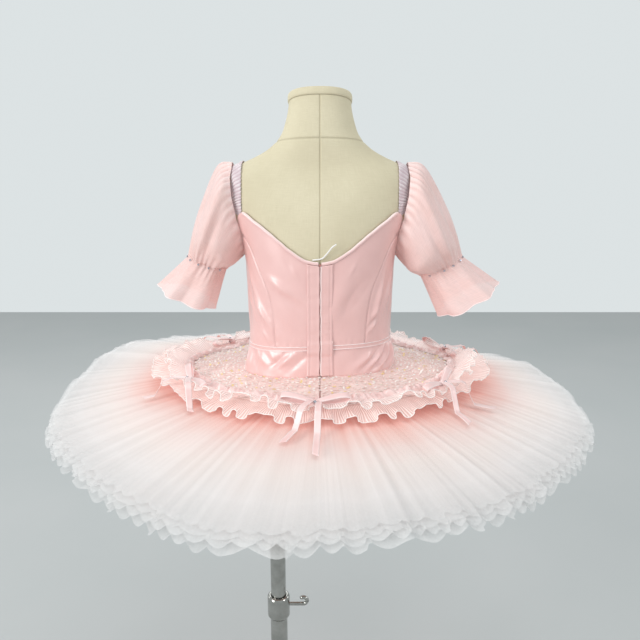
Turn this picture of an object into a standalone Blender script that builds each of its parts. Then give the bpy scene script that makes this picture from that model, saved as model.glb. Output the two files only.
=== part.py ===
"""A child's ballet tutu on its dress form, which stands on a height-adjustable chrome pole.

Metres, +Z up. The floor is z = 0 and the garment's centre plane is x = 0. The garment's front faces -Y and its
back, with the zip, faces +Y; the wearer's left arm is on -X. Directions round the body are given as a turn in
degrees from the centre back: 0 is the back, 90 is the +X side, 180 the front and 270 the -X side.
"""

import math
from collections import namedtuple

import bmesh
import bpy
import numpy as np
from mathutils import Matrix, Vector
from numpy.lib.stride_tricks import sliding_window_view

# ---------------------------------------------------------------------------------------------------------------
# Driving dimensions
# ---------------------------------------------------------------------------------------------------------------

SEAM_GAP = 0.0004  # between two pieces that are sewn together
FORM_CLEARANCE = 0.0016  # between the garment and the dress form
SATIN = 0.0015  # wall of the bodice and the basque
CHIFFON = 0.0012  # wall of the sleeves, cuffs and frills
NET = 0.0012  # wall of a tulle layer
RIBBON = 0.0012  # wall of a bow's ribbon

POLE_X = 0.061  # the pole stands this far from the garment's centre plane, under one hip
UPPER_TUBE_RADIUS = 0.011
LOWER_TUBE_RADIUS = 0.0125
SLIDING_GAP = 0.0003
COLLAR_TOP = 0.393
BASE_RADIUS = 0.150
FORM_BOTTOM = 0.600

WAIST = 0.7895  # mean height of the waist seam
WAIST_DIP_FRONT = 0.0090  # the seam is this much higher at the back than the mean, and as much lower in front
WAIST_DIP_SIDE = 0.0040  # and this much lower on the +X side
WAIST_BINDING_HEIGHT = 0.0050
BASQUE_HEIGHT = 0.0345  # from the waist seam to the basque's lower edge
BASQUE_FLARE = 0.0030

# The dress form, from its base to the top of the neck. Every section is a rounded oval; slope tips its plane up
# towards the back, and lean moves it along Y.
Section = namedtuple("Section", "z half_width back front lean slope")
FORM_SECTIONS = [
    Section(0.6000, 0.0840, 0.0680, 0.0620, 0.000, 0.00),
    Section(0.6060, 0.0930, 0.0760, 0.0690, 0.000, 0.00),
    Section(0.6200, 0.0990, 0.0820, 0.0740, 0.000, 0.00),
    Section(0.6500, 0.1030, 0.0860, 0.0770, 0.000, 0.00),
    Section(0.6950, 0.1025, 0.0850, 0.0770, 0.000, 0.00),
    Section(0.7400, 0.0960, 0.0785, 0.0735, 0.000, 0.00),
    Section(0.7895, 0.0887, 0.0722, 0.0690, 0.000, 0.00),
    Section(0.8300, 0.0893, 0.0720, 0.0700, 0.000, 0.00),
    Section(0.8700, 0.0903, 0.0728, 0.0725, 0.000, 0.00),
    Section(0.9050, 0.0925, 0.0735, 0.0735, 0.000, 0.00),
    Section(0.9180, 0.0951, 0.0728, 0.0726, 0.000, 0.00),
    Section(0.9300, 0.0985, 0.0715, 0.0710, 0.000, 0.00),
    Section(0.9435, 0.1038, 0.0692, 0.0684, 0.000, 0.00),
    Section(0.9570, 0.1085, 0.0660, 0.0650, 0.000, 0.00),
    Section(0.9850, 0.1130, 0.0570, 0.0550, 0.000, 0.00),
    Section(1.0000, 0.1120, 0.0500, 0.0480, 0.000, 0.00),
    Section(1.0080, 0.1060, 0.0465, 0.0445, 0.000, 0.00),
    Section(1.0130, 0.0960, 0.0450, 0.0430, 0.000, 0.01),
    Section(1.0195, 0.0810, 0.0440, 0.0420, 0.000, 0.04),
    Section(1.0270, 0.0665, 0.0430, 0.0415, 0.000, 0.10),
    Section(1.0360, 0.0545, 0.0420, 0.0405, 0.000, 0.17),
    Section(1.0460, 0.0470, 0.0410, 0.0400, -0.001, 0.20),
    Section(1.0600, 0.0420, 0.0400, 0.0395, -0.002, 0.23),
    Section(1.0730, 0.0388, 0.0388, 0.0385, -0.003, 0.25),
    Section(1.0840, 0.0374, 0.0380, 0.0380, -0.004, 0.25),
]
OVAL_POWER = 2.3  # 2 is an ellipse; more is squarer
NECK_CAP_HEIGHT = 0.0105

# The bodice's upper edge: neckline, top of the shoulder corner, armhole, front neckline.
TopEdge = namedtuple("TopEdge", "turn z")
BODICE_TOP = [
    TopEdge(0.0, 0.9030),
    TopEdge(12.0, 0.9060),
    TopEdge(25.0, 0.9165),
    TopEdge(40.0, 0.9330),
    TopEdge(55.0, 0.9490),
    TopEdge(66.0, 0.9575),
    TopEdge(70.0, 0.9530),
    TopEdge(79.0, 0.9200),
    TopEdge(90.0, 0.9050),
    TopEdge(101.0, 0.9200),
    TopEdge(110.0, 0.9530),
    TopEdge(114.0, 0.9575),
    TopEdge(128.0, 0.9490),
    TopEdge(147.0, 0.9380),
    TopEdge(165.0, 0.9320),
    TopEdge(180.0, 0.9300),
]
CORNER_TURN = 66.0  # where the strap joins the back neckline; the front corner is at 180 less this
# The princess seam of the back, from the waist (height 0) to the armhole (height 1). The front's mirrors it.
SeamPoint = namedtuple("SeamPoint", "height turn")
PRINCESS_SEAM = [
    SeamPoint(0.00, 41.0),
    SeamPoint(0.30, 43.0),
    SeamPoint(0.50, 47.5),
    SeamPoint(0.65, 56.5),
    SeamPoint(0.85, 70.0),
    SeamPoint(1.00, 78.0),
]
PLACKET_WIDTH = 0.0140
PLACKET_WALL = 0.0012
ZIP_HALF_WIDTH = 0.0016

# Straps: shirred bands over the ends of the shoulders.
STRAP_INNER_X = 0.0950
STRAP_OUTER_X = 0.1060
STRAP_WALL = 0.0020
STRAP_CLEARANCE = 0.0007
STRAP_PIVOT_Z = 0.9590
STRAP_END_ANGLE = 82.0  # from straight up, at the shoulder's pivot

# Sleeves: each ring is given by its outer and its inner point in the plane y = 0, and its half-depth in Y.
SleeveRing = namedtuple("SleeveRing", "outer_x outer_z inner_x inner_z half_depth gather")
SLEEVE_RINGS = {
    "right": [  # the wearer's right arm, on +X
        SleeveRing(0.1076, 1.0115, 0.0969, 0.9040, 0.0354, 0.1),
        SleeveRing(0.1260, 1.0040, 0.0995, 0.8985, 0.0480, 0.8),
        SleeveRing(0.1460, 0.9640, 0.1060, 0.8920, 0.0520, 0.5),
        SleeveRing(0.1590, 0.9290, 0.1090, 0.8880, 0.0460, 0.6),
        SleeveRing(0.1655, 0.8990, 0.1200, 0.8830, 0.0270, 1.0),
    ],
    "left": [
        SleeveRing(0.1076, 1.0115, 0.0969, 0.9040, 0.0354, 0.1),
        SleeveRing(0.1285, 1.0030, 0.1000, 0.8970, 0.0480, 0.8),
        SleeveRing(0.1560, 0.9590, 0.1080, 0.8870, 0.0530, 0.5),
        SleeveRing(0.1710, 0.9260, 0.1140, 0.8790, 0.0470, 0.6),
        SleeveRing(0.1785, 0.8985, 0.1290, 0.8740, 0.0270, 1.0),
    ],
}
CUFF_HEM = {
    "right": SleeveRing(0.2100, 0.8600, 0.1380, 0.8310, 0.0400, 1.0),
    "left": SleeveRing(0.2270, 0.8630, 0.1560, 0.8210, 0.0420, 1.0),
}
SLEEVE_GATHERS = 6
SLEEVE_GATHER_DEPTH = 0.0020
CUFF_WAVES = 6
CUFF_WAVE_DEPTH = 0.0045

# The decorated plate that lies on the net, and the frills sewn round it. Its edge is drawn in under each bow.
PlateEdge = namedtuple("PlateEdge", "turn radius frill_radius")
PLATE_EDGE = [
    PlateEdge(0.0, 0.1480, 0.1760),
    PlateEdge(18.0, 0.1490, 0.1760),
    PlateEdge(38.0, 0.1520, 0.1810),
    PlateEdge(52.0, 0.1600, 0.1850),
    PlateEdge(69.0, 0.1670, 0.1960),
    PlateEdge(84.0, 0.1770, 0.2180),
    PlateEdge(100.0, 0.1890, 0.2320),
    PlateEdge(112.0, 0.1860, 0.2370),
    PlateEdge(130.0, 0.1750, 0.2270),
    PlateEdge(146.0, 0.1880, 0.2320),
    PlateEdge(163.0, 0.1930, 0.2330),
    PlateEdge(180.0, 0.1820, 0.2240),
]
PLATE_EDGE_Z = 0.7440
PLATE_TIP = 0.0105  # the plate's edge is this much higher at the back, and as much lower in front
PLATE_WALL = 0.0015
# Each bow's place, how far its two tails spread sideways and reach outwards, as shares of the tail's length, and how
# far the knot's middle lies below the loops'.
Bow = namedtuple("Bow", "turn left_spread right_spread left_reach right_reach knot_drop")
BOWS = [
    Bow(2.0, 0.50, -0.03, 1.0, 1.35, 0.0018),
    Bow(67.0, 0.40, 0.90, 1.0, 0.35, 0.0011),
    Bow(134.0, 0.20, 0.20, 1.0, 1.0, 0.0018),
    Bow(184.0, 0.25, 0.25, 1.0, 1.0, 0.0011),
    Bow(246.0, 0.20, 0.20, 1.0, 1.0, 0.0011),
    Bow(300.0, 0.55, 0.45, 0.9, 1.0, 0.0011),
]
BOW_PRESS_DEGREES = 9.0  # a bow presses the frills flat this far to each side
FRILL_WAVES = 22
FRILL_WAVE_DEPTH = 0.0034
UPPER_FRILL_WAVES = 12
UPPER_FRILL_WIDTH = 0.0225
UPPER_FRILL_RISE = 0.0085
UPPER_FRILL_WAVE_DEPTH = 0.0030
RUCHE_WIDTH = 0.0105
RUCHE_HEIGHT = 0.0045
RUCHE_PUFFS = 24

# The net layers, from the top one down. Each is sewn to the briefs at its root and stands out almost flat.
# drop and reach place its hem against the top layer's, which the hem table gives all round.
NetLayer = namedtuple("NetLayer", "name root_z drop reach rings")
NET_LAYERS = [
    NetLayer("net_layer_top", 0.7385, 0.0000, 1.000, (0.0, 0.42, 1.0)),
    NetLayer("net_layer_middle", 0.7285, 0.0045, 1.000, (0.0, 0.42, 1.0)),
    NetLayer("net_layer_lower", 0.7185, 0.0095, 0.995, (0.0, 0.42, 1.0)),
]
NET_PLEATS = 32
PLEAT_DEPTH = 0.0042
ROOT_PLEAT_DEPTH = 0.0008
NET_ROOT_TIP = 0.0055  # a layer's root is this much higher at the back, and as much lower in front
NET_SIDES = 2 * NET_PLEATS
NET_DROOP_POWER = 1.5
HemPoint = namedtuple("HemPoint", "turn radius z")
HEM = [
    HemPoint(0.0, 0.350, 0.713),
    HemPoint(12.0, 0.354, 0.708),
    HemPoint(35.0, 0.340, 0.707),
    HemPoint(55.0, 0.336, 0.704),
    HemPoint(75.0, 0.350, 0.693),
    HemPoint(92.0, 0.367, 0.689),
    HemPoint(106.0, 0.370, 0.707),
    HemPoint(118.0, 0.368, 0.722),
    HemPoint(132.0, 0.362, 0.713),
    HemPoint(150.0, 0.355, 0.700),
    HemPoint(180.0, 0.350, 0.690),
    HemPoint(210.0, 0.353, 0.687),
    HemPoint(230.0, 0.360, 0.689),
    HemPoint(247.0, 0.364, 0.699),
    HemPoint(262.0, 0.368, 0.686),
    HemPoint(274.0, 0.365, 0.676),
    HemPoint(290.0, 0.340, 0.681),
    HemPoint(305.0, 0.328, 0.688),
    HemPoint(330.0, 0.334, 0.703),
    HemPoint(348.0, 0.343, 0.712),
    HemPoint(360.0, 0.350, 0.713),
]
BRIEFS_CLEARANCE = 0.0010
BRIEFS_TOP_DROP = 0.0055  # below the basque's lower edge
LEG_TOP = 0.6920  # the leg openings' highest point, at the sides
CROTCH = 0.6180  # the briefs' lower edge at the centre front and back
LEG_CURVE = 3.0
GUSSET_HALF_WIDTH = 0.0260

RIBBON_WIDTH = 0.0090
BOW_LOOP_LENGTH = 0.0400
BOW_LOOP_HEIGHT = 0.0042
BOW_TAIL_LENGTH = 0.0560
BOW_KNOT = (0.0080, 0.0112, 0.0100)  # along the loops, outwards, up
BOW_ABOVE_PLATE = 0.0114

# ---------------------------------------------------------------------------------------------------------------
# Tools shared by all pieces
# ---------------------------------------------------------------------------------------------------------------


def clear_scene():
    for thing in list(bpy.data.objects):
        bpy.data.objects.remove(thing)


def finish_of(name, colour, roughness=0.5, metallic=0.0):
    """A Principled material of one colour, made once for each name."""
    found = bpy.data.materials.get(name)
    if found:
        return found
    made = bpy.data.materials.new(name)
    made.use_nodes = True
    shader = made.node_tree.nodes["Principled BSDF"]
    shader.inputs["Base Color"].default_value = (*colour, 1.0)
    shader.inputs["Roughness"].default_value = roughness
    shader.inputs["Metallic"].default_value = metallic
    return made


def satin():
    return finish_of("pink_satin", (0.90, 0.62, 0.60), 0.35)


def chiffon():
    return finish_of("pink_chiffon", (0.93, 0.74, 0.70), 0.7)


def net():
    return finish_of("white_net", (0.93, 0.90, 0.89), 0.8)


def lace():
    return finish_of("sequinned_lace", (0.93, 0.72, 0.67), 0.5)


def linen():
    return finish_of("linen_cover", (0.80, 0.76, 0.62), 0.85)


def chrome():
    return finish_of("chrome", (0.70, 0.70, 0.70), 0.12, 1.0)


def smooth_curve(x, rows, column):
    """The value of a column of a table at x: a cubic between rows, with slopes from the rows on each side."""
    at = np.array([row[0] for row in rows], float)
    value = np.array([getattr(row, column) for row in rows], float)
    slope = np.gradient(value, at)
    x = np.clip(np.asarray(x, float), at[0], at[-1])
    i = np.clip(np.searchsorted(at, x, side="right") - 1, 0, len(at) - 2)
    step = at[i + 1] - at[i]
    t = (x - at[i]) / step
    return (
        (1 + 2 * t) * (1 - t) ** 2 * value[i]
        + t * (1 - t) ** 2 * step * slope[i]
        + t * t * (3 - 2 * t) * value[i + 1]
        - t * t * (1 - t) * step * slope[i + 1]
    )


def from_back(turn):
    """A turn folded to 0 to 180 degrees, for tables that are the same on both sides."""
    return 180.0 - np.abs(np.mod(turn, 360.0) - 180.0)


def spot(radius, turn, z):
    """Points at a radius and a turn from the centre back."""
    a = np.radians(turn)
    x, y, z = np.broadcast_arrays(radius * np.sin(a), radius * np.cos(a), z)
    return np.stack([x, y, z], axis=-1)


def form_radius(z, turn, out=0.0):
    """How far the dress form reaches at a height and a turn: a superellipse, grown by out."""
    a = np.radians(turn)
    wide = smooth_curve(z, FORM_SECTIONS, "half_width") + out
    back = smooth_curve(z, FORM_SECTIONS, "back") + out
    front = smooth_curve(z, FORM_SECTIONS, "front") + out
    deep = np.where(np.cos(a) > 0, back, front)
    return (np.abs(np.sin(a) / wide) ** OVAL_POWER + np.abs(np.cos(a) / deep) ** OVAL_POWER) ** (-1 / OVAL_POWER)


def on_form(z, turn, out):
    return spot(form_radius(z, turn, out), turn, z)


def waist_z(turn):
    a = np.radians(turn)
    return WAIST + WAIST_DIP_FRONT * np.cos(a) - WAIST_DIP_SIDE * np.sin(a)


def link(name, mesh, material):
    made = bpy.data.objects.new(name, mesh)
    bpy.context.scene.collection.objects.link(made)
    mesh.materials.append(material)
    return made


def surface(name, grid, material, round_it=False):
    """An object from a grid of points. round_it joins the grid's last row to its first."""
    rows, columns = grid.shape[:2]
    index = np.arange(rows * columns).reshape(rows, columns)
    if round_it:
        index = np.vstack([index, index[:1]])
    quads = np.stack([index[:-1, :-1], index[1:, :-1], index[1:, 1:], index[:-1, 1:]], axis=-1).reshape(-1, 4)
    mesh = bpy.data.meshes.new(name)
    mesh.from_pydata(grid.reshape(-1, 3).tolist(), [], quads.tolist())
    return link(name, mesh, material)


def wall(name, grid, thickness, material, round_it=False):
    """A cloth wall: a surface given its thickness, half on each side."""
    made = surface(name, grid, material, round_it)
    solid = made.modifiers.new("thickness", "SOLIDIFY")
    solid.thickness = thickness
    solid.offset = 0.0
    made.data.shade_smooth()
    made.data.set_sharp_from_angle(angle=math.radians(50))
    return made


def quads_between(first, second):
    """Four-cornered faces between two matching rows of point numbers."""
    return np.stack([first[:-1], first[1:], second[1:], second[:-1]], axis=-1).reshape(-1, 4)


def layer(name, inner, outer, material, round_it=False):
    """A cloth wall between two grids of points, one for each of its faces."""
    rows, columns = inner.shape[:2]
    near = np.arange(rows * columns).reshape(rows, columns)
    if round_it:
        near = np.vstack([near, near[:1]])
    far = near + rows * columns
    quads = [quads_between(near[:, 0], far[:, 0]), quads_between(far[:, -1], near[:, -1])]
    for column in range(columns - 1):
        quads.append(quads_between(near[:, column + 1], near[:, column]))
        quads.append(quads_between(far[:, column], far[:, column + 1]))
    if not round_it:
        quads += [quads_between(far[0], near[0]), quads_between(near[-1], far[-1])]
    mesh = bpy.data.meshes.new(name)
    points = np.concatenate([inner.reshape(-1, 3), outer.reshape(-1, 3)])
    mesh.from_pydata(points.tolist(), [], np.concatenate(quads).tolist())
    return tidy(link(name, mesh, material), 50)


def tidy(made, sharp_degrees):
    """Faces turned outward, shaded smooth but for the sharp edges."""
    work = bmesh.new()
    work.from_mesh(made.data)
    bmesh.ops.remove_doubles(work, verts=work.verts, dist=1e-6)
    bmesh.ops.recalc_face_normals(work, faces=work.faces)
    work.to_mesh(made.data)
    work.free()
    made.data.shade_smooth()
    made.data.set_sharp_from_angle(angle=math.radians(sharp_degrees))
    return made


def on_body(name, z, turn, out, thickness, material, round_it=False):
    """A cloth wall that lies at a distance out from the dress form."""
    return layer(name, on_form(z, turn, out), on_form(z, turn, out + thickness), material, round_it)


def closed_shell(name, rings, material):
    """A solid through closed rings of points, with a flat face on its first and last ring."""
    made = surface(name, np.swapaxes(rings, 0, 1), material, round_it=True)
    work = bmesh.new()
    work.from_mesh(made.data)
    bmesh.ops.holes_fill(work, edges=[e for e in work.edges if e.is_boundary], sides=0)
    work.to_mesh(made.data)
    work.free()
    return tidy(made, 40)


def turned(name, profile, centre, material, sides=36):
    """A solid of revolution: profile is a closed outline of (radius, z) about the vertical through centre."""
    turns = np.arange(sides) * (360.0 / sides)
    outline = np.array([*profile, profile[0]])
    grid = spot(outline[None, :, 0], turns[:, None], outline[None, :, 1]) + np.array([*centre, 0.0])
    return tidy(surface(name, grid, material, round_it=True), 30)


def drill(target, start, end, radius):
    """Cuts a round hole through target from one point to another."""
    start, end = Vector(start), Vector(end)
    work = bmesh.new()
    bmesh.ops.create_cone(work, cap_ends=True, segments=16, radius1=radius, radius2=radius, depth=(end - start).length)
    turn = (end - start).to_track_quat("Z", "Y").to_matrix().to_4x4()
    bmesh.ops.transform(work, matrix=Matrix.Translation((start + end) / 2) @ turn, verts=work.verts)
    mesh = bpy.data.meshes.new(target.name + "_cutter")
    work.to_mesh(mesh)
    work.free()
    cutter = bpy.data.objects.new(mesh.name, mesh)
    bpy.context.scene.collection.objects.link(cutter)
    cutter.hide_render = True
    cutter.display_type = "WIRE"
    cut = target.modifiers.new("hole", "BOOLEAN")
    cut.operation = "DIFFERENCE"
    cut.object = cutter


# ---------------------------------------------------------------------------------------------------------------
# Dress form and stand
# ---------------------------------------------------------------------------------------------------------------

FORM_SIDES = 36


def form_ring(section, turns):
    """One ring of the dress form, tipped by its slope."""
    grow = on_form(section.z, turns, 0.0)
    grow[:, 1] += section.lean
    grow[:, 2] += section.slope * grow[:, 1]
    return grow


def make_dress_form():
    turns = np.arange(FORM_SIDES) * (360.0 / FORM_SIDES)
    rings = np.array([form_ring(section, turns) for section in FORM_SECTIONS])
    closed_shell("form_torso", rings, linen())

    # The cap is a padded disc that covers the top of the neck.
    top = FORM_SECTIONS[-1]
    neck = form_ring(top, turns)
    middle = neck.mean(axis=0)
    axis = np.array([0.0, -top.slope, 1.0]) / math.hypot(1.0, top.slope)
    shape = [(1.015, SEAM_GAP), (1.040, 0.0020), (1.040, 0.0070), (0.985, NECK_CAP_HEIGHT - 0.0008), (0.80, NECK_CAP_HEIGHT)]
    rings = np.array([middle + (neck - middle) * grow + axis * rise for grow, rise in shape])
    closed_shell("form_neck_cap", rings, linen())


def make_stand():
    centre = (POLE_X, 0.0)
    lower_bore = LOWER_TUBE_RADIUS + SLIDING_GAP
    upper_bore = UPPER_TUBE_RADIUS + SLIDING_GAP
    turned(
        "stand_base",
        [
            (0.0, 0.0),
            (BASE_RADIUS - 0.0015, 0.0),
            (BASE_RADIUS, 0.0015),
            (BASE_RADIUS, 0.0045),
            (BASE_RADIUS - 0.0025, 0.0065),
            (0.0260, 0.0090),
            (0.0220, 0.0130),
            (0.0205, 0.0260),
            (0.0190, 0.0275),
            (lower_bore, 0.0275),
            (lower_bore, 0.0040),
            (0.0, 0.0040),
        ],
        centre,
        chrome(),
        sides=40,
    )
    tube_top = COLLAR_TOP - 0.0055
    lower = turned(
        "stand_lower_tube",
        [(upper_bore, 0.0043), (LOWER_TUBE_RADIUS, 0.0043), (LOWER_TUBE_RADIUS, tube_top), (upper_bore, tube_top)],
        centre,
        chrome(),
        sides=24,
    )
    collar_radius, collar_height, chamfer = 0.0163, 0.0380, 0.0030
    collar_bottom = COLLAR_TOP - collar_height
    step_z = tube_top + SLIDING_GAP
    collar = turned(
        "stand_collar",
        [
            (lower_bore, collar_bottom),
            (collar_radius - chamfer, collar_bottom),
            (collar_radius, collar_bottom + chamfer * 1.4),
            (collar_radius, COLLAR_TOP - chamfer),
            (collar_radius - chamfer * 0.6, COLLAR_TOP - 0.0006),
            (collar_radius - chamfer, COLLAR_TOP),
            (upper_bore + 0.0004, COLLAR_TOP),
            (upper_bore + 0.0004, step_z),
            (lower_bore, step_z),
        ],
        centre,
        chrome(),
        sides=24,
    )
    upper_tube_wall = 0.0015
    turned(
        "form_pole",
        [
            (UPPER_TUBE_RADIUS - upper_tube_wall, 0.1600),
            (UPPER_TUBE_RADIUS, 0.1600),
            (UPPER_TUBE_RADIUS, 0.5920),
            (UPPER_TUBE_RADIUS - upper_tube_wall, 0.5920),
        ],
        centre,
        chrome(),
        sides=24,
    )
    socket_top = FORM_BOTTOM - 0.0003
    turned(
        "form_socket",
        [
            (0.0, socket_top),
            (0.0, 0.5923),
            (upper_bore, 0.5923),
            (upper_bore, 0.5600),
            (0.0150, 0.5600),
            (0.0155, 0.5880),
            (0.0190, 0.5930),
            (0.0300, 0.5945),
            (0.0310, socket_top - 0.0010),
            (0.0300, socket_top),
        ],
        centre,
        chrome(),
        sides=24,
    )

    # The clamp screw runs in through the collar and the lower tube to the upper one. Its outer end is bent up.
    screw_z, screw_radius, screw_gap = COLLAR_TOP - 0.0165, 0.0030, 0.0004
    tip_x = POLE_X - UPPER_TUBE_RADIUS - SLIDING_GAP
    through = (POLE_X - 0.030, 0.0, screw_z)
    drill(lower, (POLE_X, 0.0, screw_z), through, screw_radius + screw_gap)
    drill(collar, (POLE_X, 0.0, screw_z), through, screw_radius + screw_gap)
    bend_x, bend_radius, bend_steps = POLE_X - collar_radius - 0.0200, 0.0055, 7
    route = [(tip_x, 0.0, screw_z), (POLE_X - collar_radius - 0.0040, 0.0, screw_z), (bend_x, 0.0, screw_z)]
    for step in range(1, bend_steps + 1):
        a = math.radians(-90.0 - 205.0 * step / bend_steps)
        route.append((bend_x + bend_radius * math.cos(a), 0.0, screw_z + bend_radius * (1 + math.sin(a))))
    make_rod("clamp_screw", np.array(route), screw_radius, 12, chrome())


def make_rod(name, line, radius, sides, material):
    """A rod of round section along a line of points that stays near a plane of constant y, with flat ends."""
    along = np.gradient(line, axis=0)
    along /= np.linalg.norm(along, axis=1)[:, None]
    across = np.cross(along, [0.0, 1.0, 0.0])
    across /= np.linalg.norm(across, axis=1)[:, None]
    side = np.cross(across, along)
    angle = np.radians(np.arange(sides) * (360.0 / sides))[None, :, None]
    rings = line[:, None] + radius * (np.cos(angle) * side[:, None] + np.sin(angle) * across[:, None])
    closed_shell(name, rings, material)


# ---------------------------------------------------------------------------------------------------------------
# Bodice
# ---------------------------------------------------------------------------------------------------------------

BODICE_OUT = FORM_CLEARANCE
SEAM_DEGREES = 0.15  # half the gap at a seam, as a turn of the body


def bodice_top(turn):
    return smooth_curve(from_back(turn), BODICE_TOP, "z")


def bodice_bottom(turn):
    return waist_z(turn) + WAIST_BINDING_HEIGHT / 2 + SEAM_GAP


def princess_turn(height):
    return smooth_curve(height, PRINCESS_SEAM, "turn")


def panel_grid(first, last, columns, rows, sign=1.0):
    """Heights and turns of a bodice panel between two seams. A seam is a function from height, 0 to 1, to a turn; sign is
    -1 for the panel's twin on the -X side."""
    height = np.linspace(0, 1, rows + 1)[None, :]
    across = np.linspace(0, 1, columns + 1)[:, None]
    turn = sign * ((1 - across) * first(height) + across * last(height))
    low, high = bodice_bottom(turn), bodice_top(turn)
    return low + height * (high - low), turn


def plain_seam(turn):
    return lambda height: turn + 0.0 * height


def make_bodice():
    zip_turn = math.degrees((ZIP_HALF_WIDTH + SEAM_GAP) / 0.0745)
    gap = SEAM_DEGREES
    seams = {
        "zip": plain_seam(zip_turn),
        "princess": princess_turn,
        "side": plain_seam(90.0),
        "front": lambda height: 180.0 - princess_turn(height),
    }
    # name, first seam, last seam, columns
    panels = [("back", "zip", "princess", 8), ("side_back", "princess", "side", 4), ("side_front", "side", "front", 4)]
    for side, sign in (("right", 1.0), ("left", -1.0)):
        for name, first, last, columns in panels:
            start = (lambda height, s=seams[first], g=0.0 if first == "zip" else gap: s(height) + g)
            end = (lambda height, s=seams[last], g=gap: s(height) - g)
            z, turn = panel_grid(start, end, columns, 6, sign)
            on_body(f"bodice_{name}_{side}", z, turn, BODICE_OUT, SATIN, satin())
    z, turn = panel_grid(
        lambda height: 180.0 - princess_turn(height) + gap,
        lambda height: 180.0 + princess_turn(height) - gap,
        19,
        6,
    )
    on_body("bodice_front", z, turn, BODICE_OUT, SATIN, satin())


def make_closure():
    """The zip between the back panels, and the topstitched placket strip on each side of it."""
    outer = BODICE_OUT + SATIN
    height = np.linspace(0, 1, 8)[None, :]
    for side, sign in (("right", 1.0), ("left", -1.0)):
        edge = math.degrees(ZIP_HALF_WIDTH / 0.0765)
        turn = sign * np.array([edge, edge + math.degrees(PLACKET_WIDTH / 2 / 0.0765), edge + math.degrees(PLACKET_WIDTH / 0.0765)])
        low = waist_z(turn)[:, None] - BASQUE_HEIGHT + 0.0012
        high = bodice_top(turn)[:, None] - BINDING_HEIGHT - SEAM_GAP
        z = low + height * (high - low)
        out = outer + SEAM_GAP + placket_rise(z, turn[:, None])
        on_body(f"placket_{side}", z, turn[:, None], out, PLACKET_WALL, satin())
    turn = np.degrees(np.array([-1.0, 1.0]) * (ZIP_HALF_WIDTH - SEAM_GAP) / 0.0765)
    low = waist_z(turn)[:, None] - BASQUE_HEIGHT + 0.0012
    high = bodice_top(turn)[:, None] - 0.0012
    z = low + height * (high - low)
    on_body("zip", z, turn[:, None], BODICE_OUT + placket_rise(z, turn[:, None]), 0.0018, satin())


def placket_rise(z, turn):
    """How much further out the placket lies where it crosses the waist binding and the basque's flare."""
    below = waist_z(turn) - z
    over_binding = np.exp(-((below / 0.0080) ** 4)) * 0.0016
    flare = BASQUE_FLARE * np.clip(below / BASQUE_HEIGHT, 0, 1)
    return over_binding + flare


BINDING_HEIGHT = 0.0030
BINDING_WALL = 0.0012


def make_edge_strip(name, first, last, columns):
    """The narrow strip that binds the bodice's upper edge between two turns."""
    turn = np.linspace(first, last, columns + 1)[:, None]
    rise = np.array([[-BINDING_HEIGHT, 0.0004]])
    on_body(name, bodice_top(turn) + rise, turn, BODICE_OUT + SATIN + SEAM_GAP, BINDING_WALL, satin())


def make_bindings():
    start = math.degrees(ZIP_HALF_WIDTH / 0.0745)
    for side, sign in (("right", 1.0), ("left", -1.0)):
        make_edge_strip(f"neck_binding_back_{side}", sign * start, sign * (CORNER_TURN - 3.0), 12)
    make_edge_strip("neck_binding_front", 180.0 - CORNER_TURN + 3.0, 180.0 + CORNER_TURN - 3.0, 22)

    # The corded binding that covers the waist seam, open at the zip.
    turn = np.linspace(start + 0.4, 360.0 - start - 0.4, 49)[:, None]
    half = WAIST_BINDING_HEIGHT / 2 * np.array([[-1.0, 1.0]])
    on_body("waist_binding", waist_z(turn) + half, turn, BODICE_OUT, SATIN + 0.0006, satin())


def make_basque():
    """The smooth satin band below the waist seam, flaring over the hips, in two halves."""
    start = math.degrees((ZIP_HALF_WIDTH + SEAM_GAP) / 0.0745)
    down = np.array([[1.0, 0.5, 0.0]])
    top = WAIST_BINDING_HEIGHT / 2 + SEAM_GAP
    for side, sign in (("right", 1.0), ("left", -1.0)):
        turn = sign * np.linspace(start, 180.0 - SEAM_DEGREES, 21)[:, None]
        z = waist_z(turn) - top - down * (BASQUE_HEIGHT - top)
        on_body(f"basque_{side}", z, turn, BODICE_OUT + BASQUE_FLARE * down, SATIN, satin())


# ---------------------------------------------------------------------------------------------------------------
# Straps and sleeves
# ---------------------------------------------------------------------------------------------------------------


def outside_form(point):
    """Above 0 outside the dress form, below 0 inside it, from the superellipse at the point's height."""
    x, y, z = point[..., 0], point[..., 1], point[..., 2]
    wide = smooth_curve(z, FORM_SECTIONS, "half_width")
    deep = np.where(y > 0, smooth_curve(z, FORM_SECTIONS, "back"), smooth_curve(z, FORM_SECTIONS, "front"))
    return np.abs(x / wide) ** OVAL_POWER + np.abs(y / deep) ** OVAL_POWER - 1


def shoulder_spot(x, angle, out):
    """The point of the shoulder in the plane x, at an angle from straight up about the pivot, moved out."""
    a = np.radians(angle)
    x, a = np.broadcast_arrays(x, a)
    heading = np.stack([np.zeros_like(a), np.sin(a), np.cos(a)], axis=-1)
    pivot = np.stack([x, np.zeros_like(x), np.full_like(x, STRAP_PIVOT_Z)], axis=-1)
    near, far = np.zeros_like(a), np.full_like(a, 0.08)
    for _ in range(40):
        middle = (near + far) / 2
        inside = outside_form(pivot + heading * middle[..., None]) < 0
        near, far = np.where(inside, middle, near), np.where(inside, far, middle)
    return pivot + heading * (near + out)[..., None]


STRAP_RIBS = 8
STRAP_RIB_DEPTH = 0.0006


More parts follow.
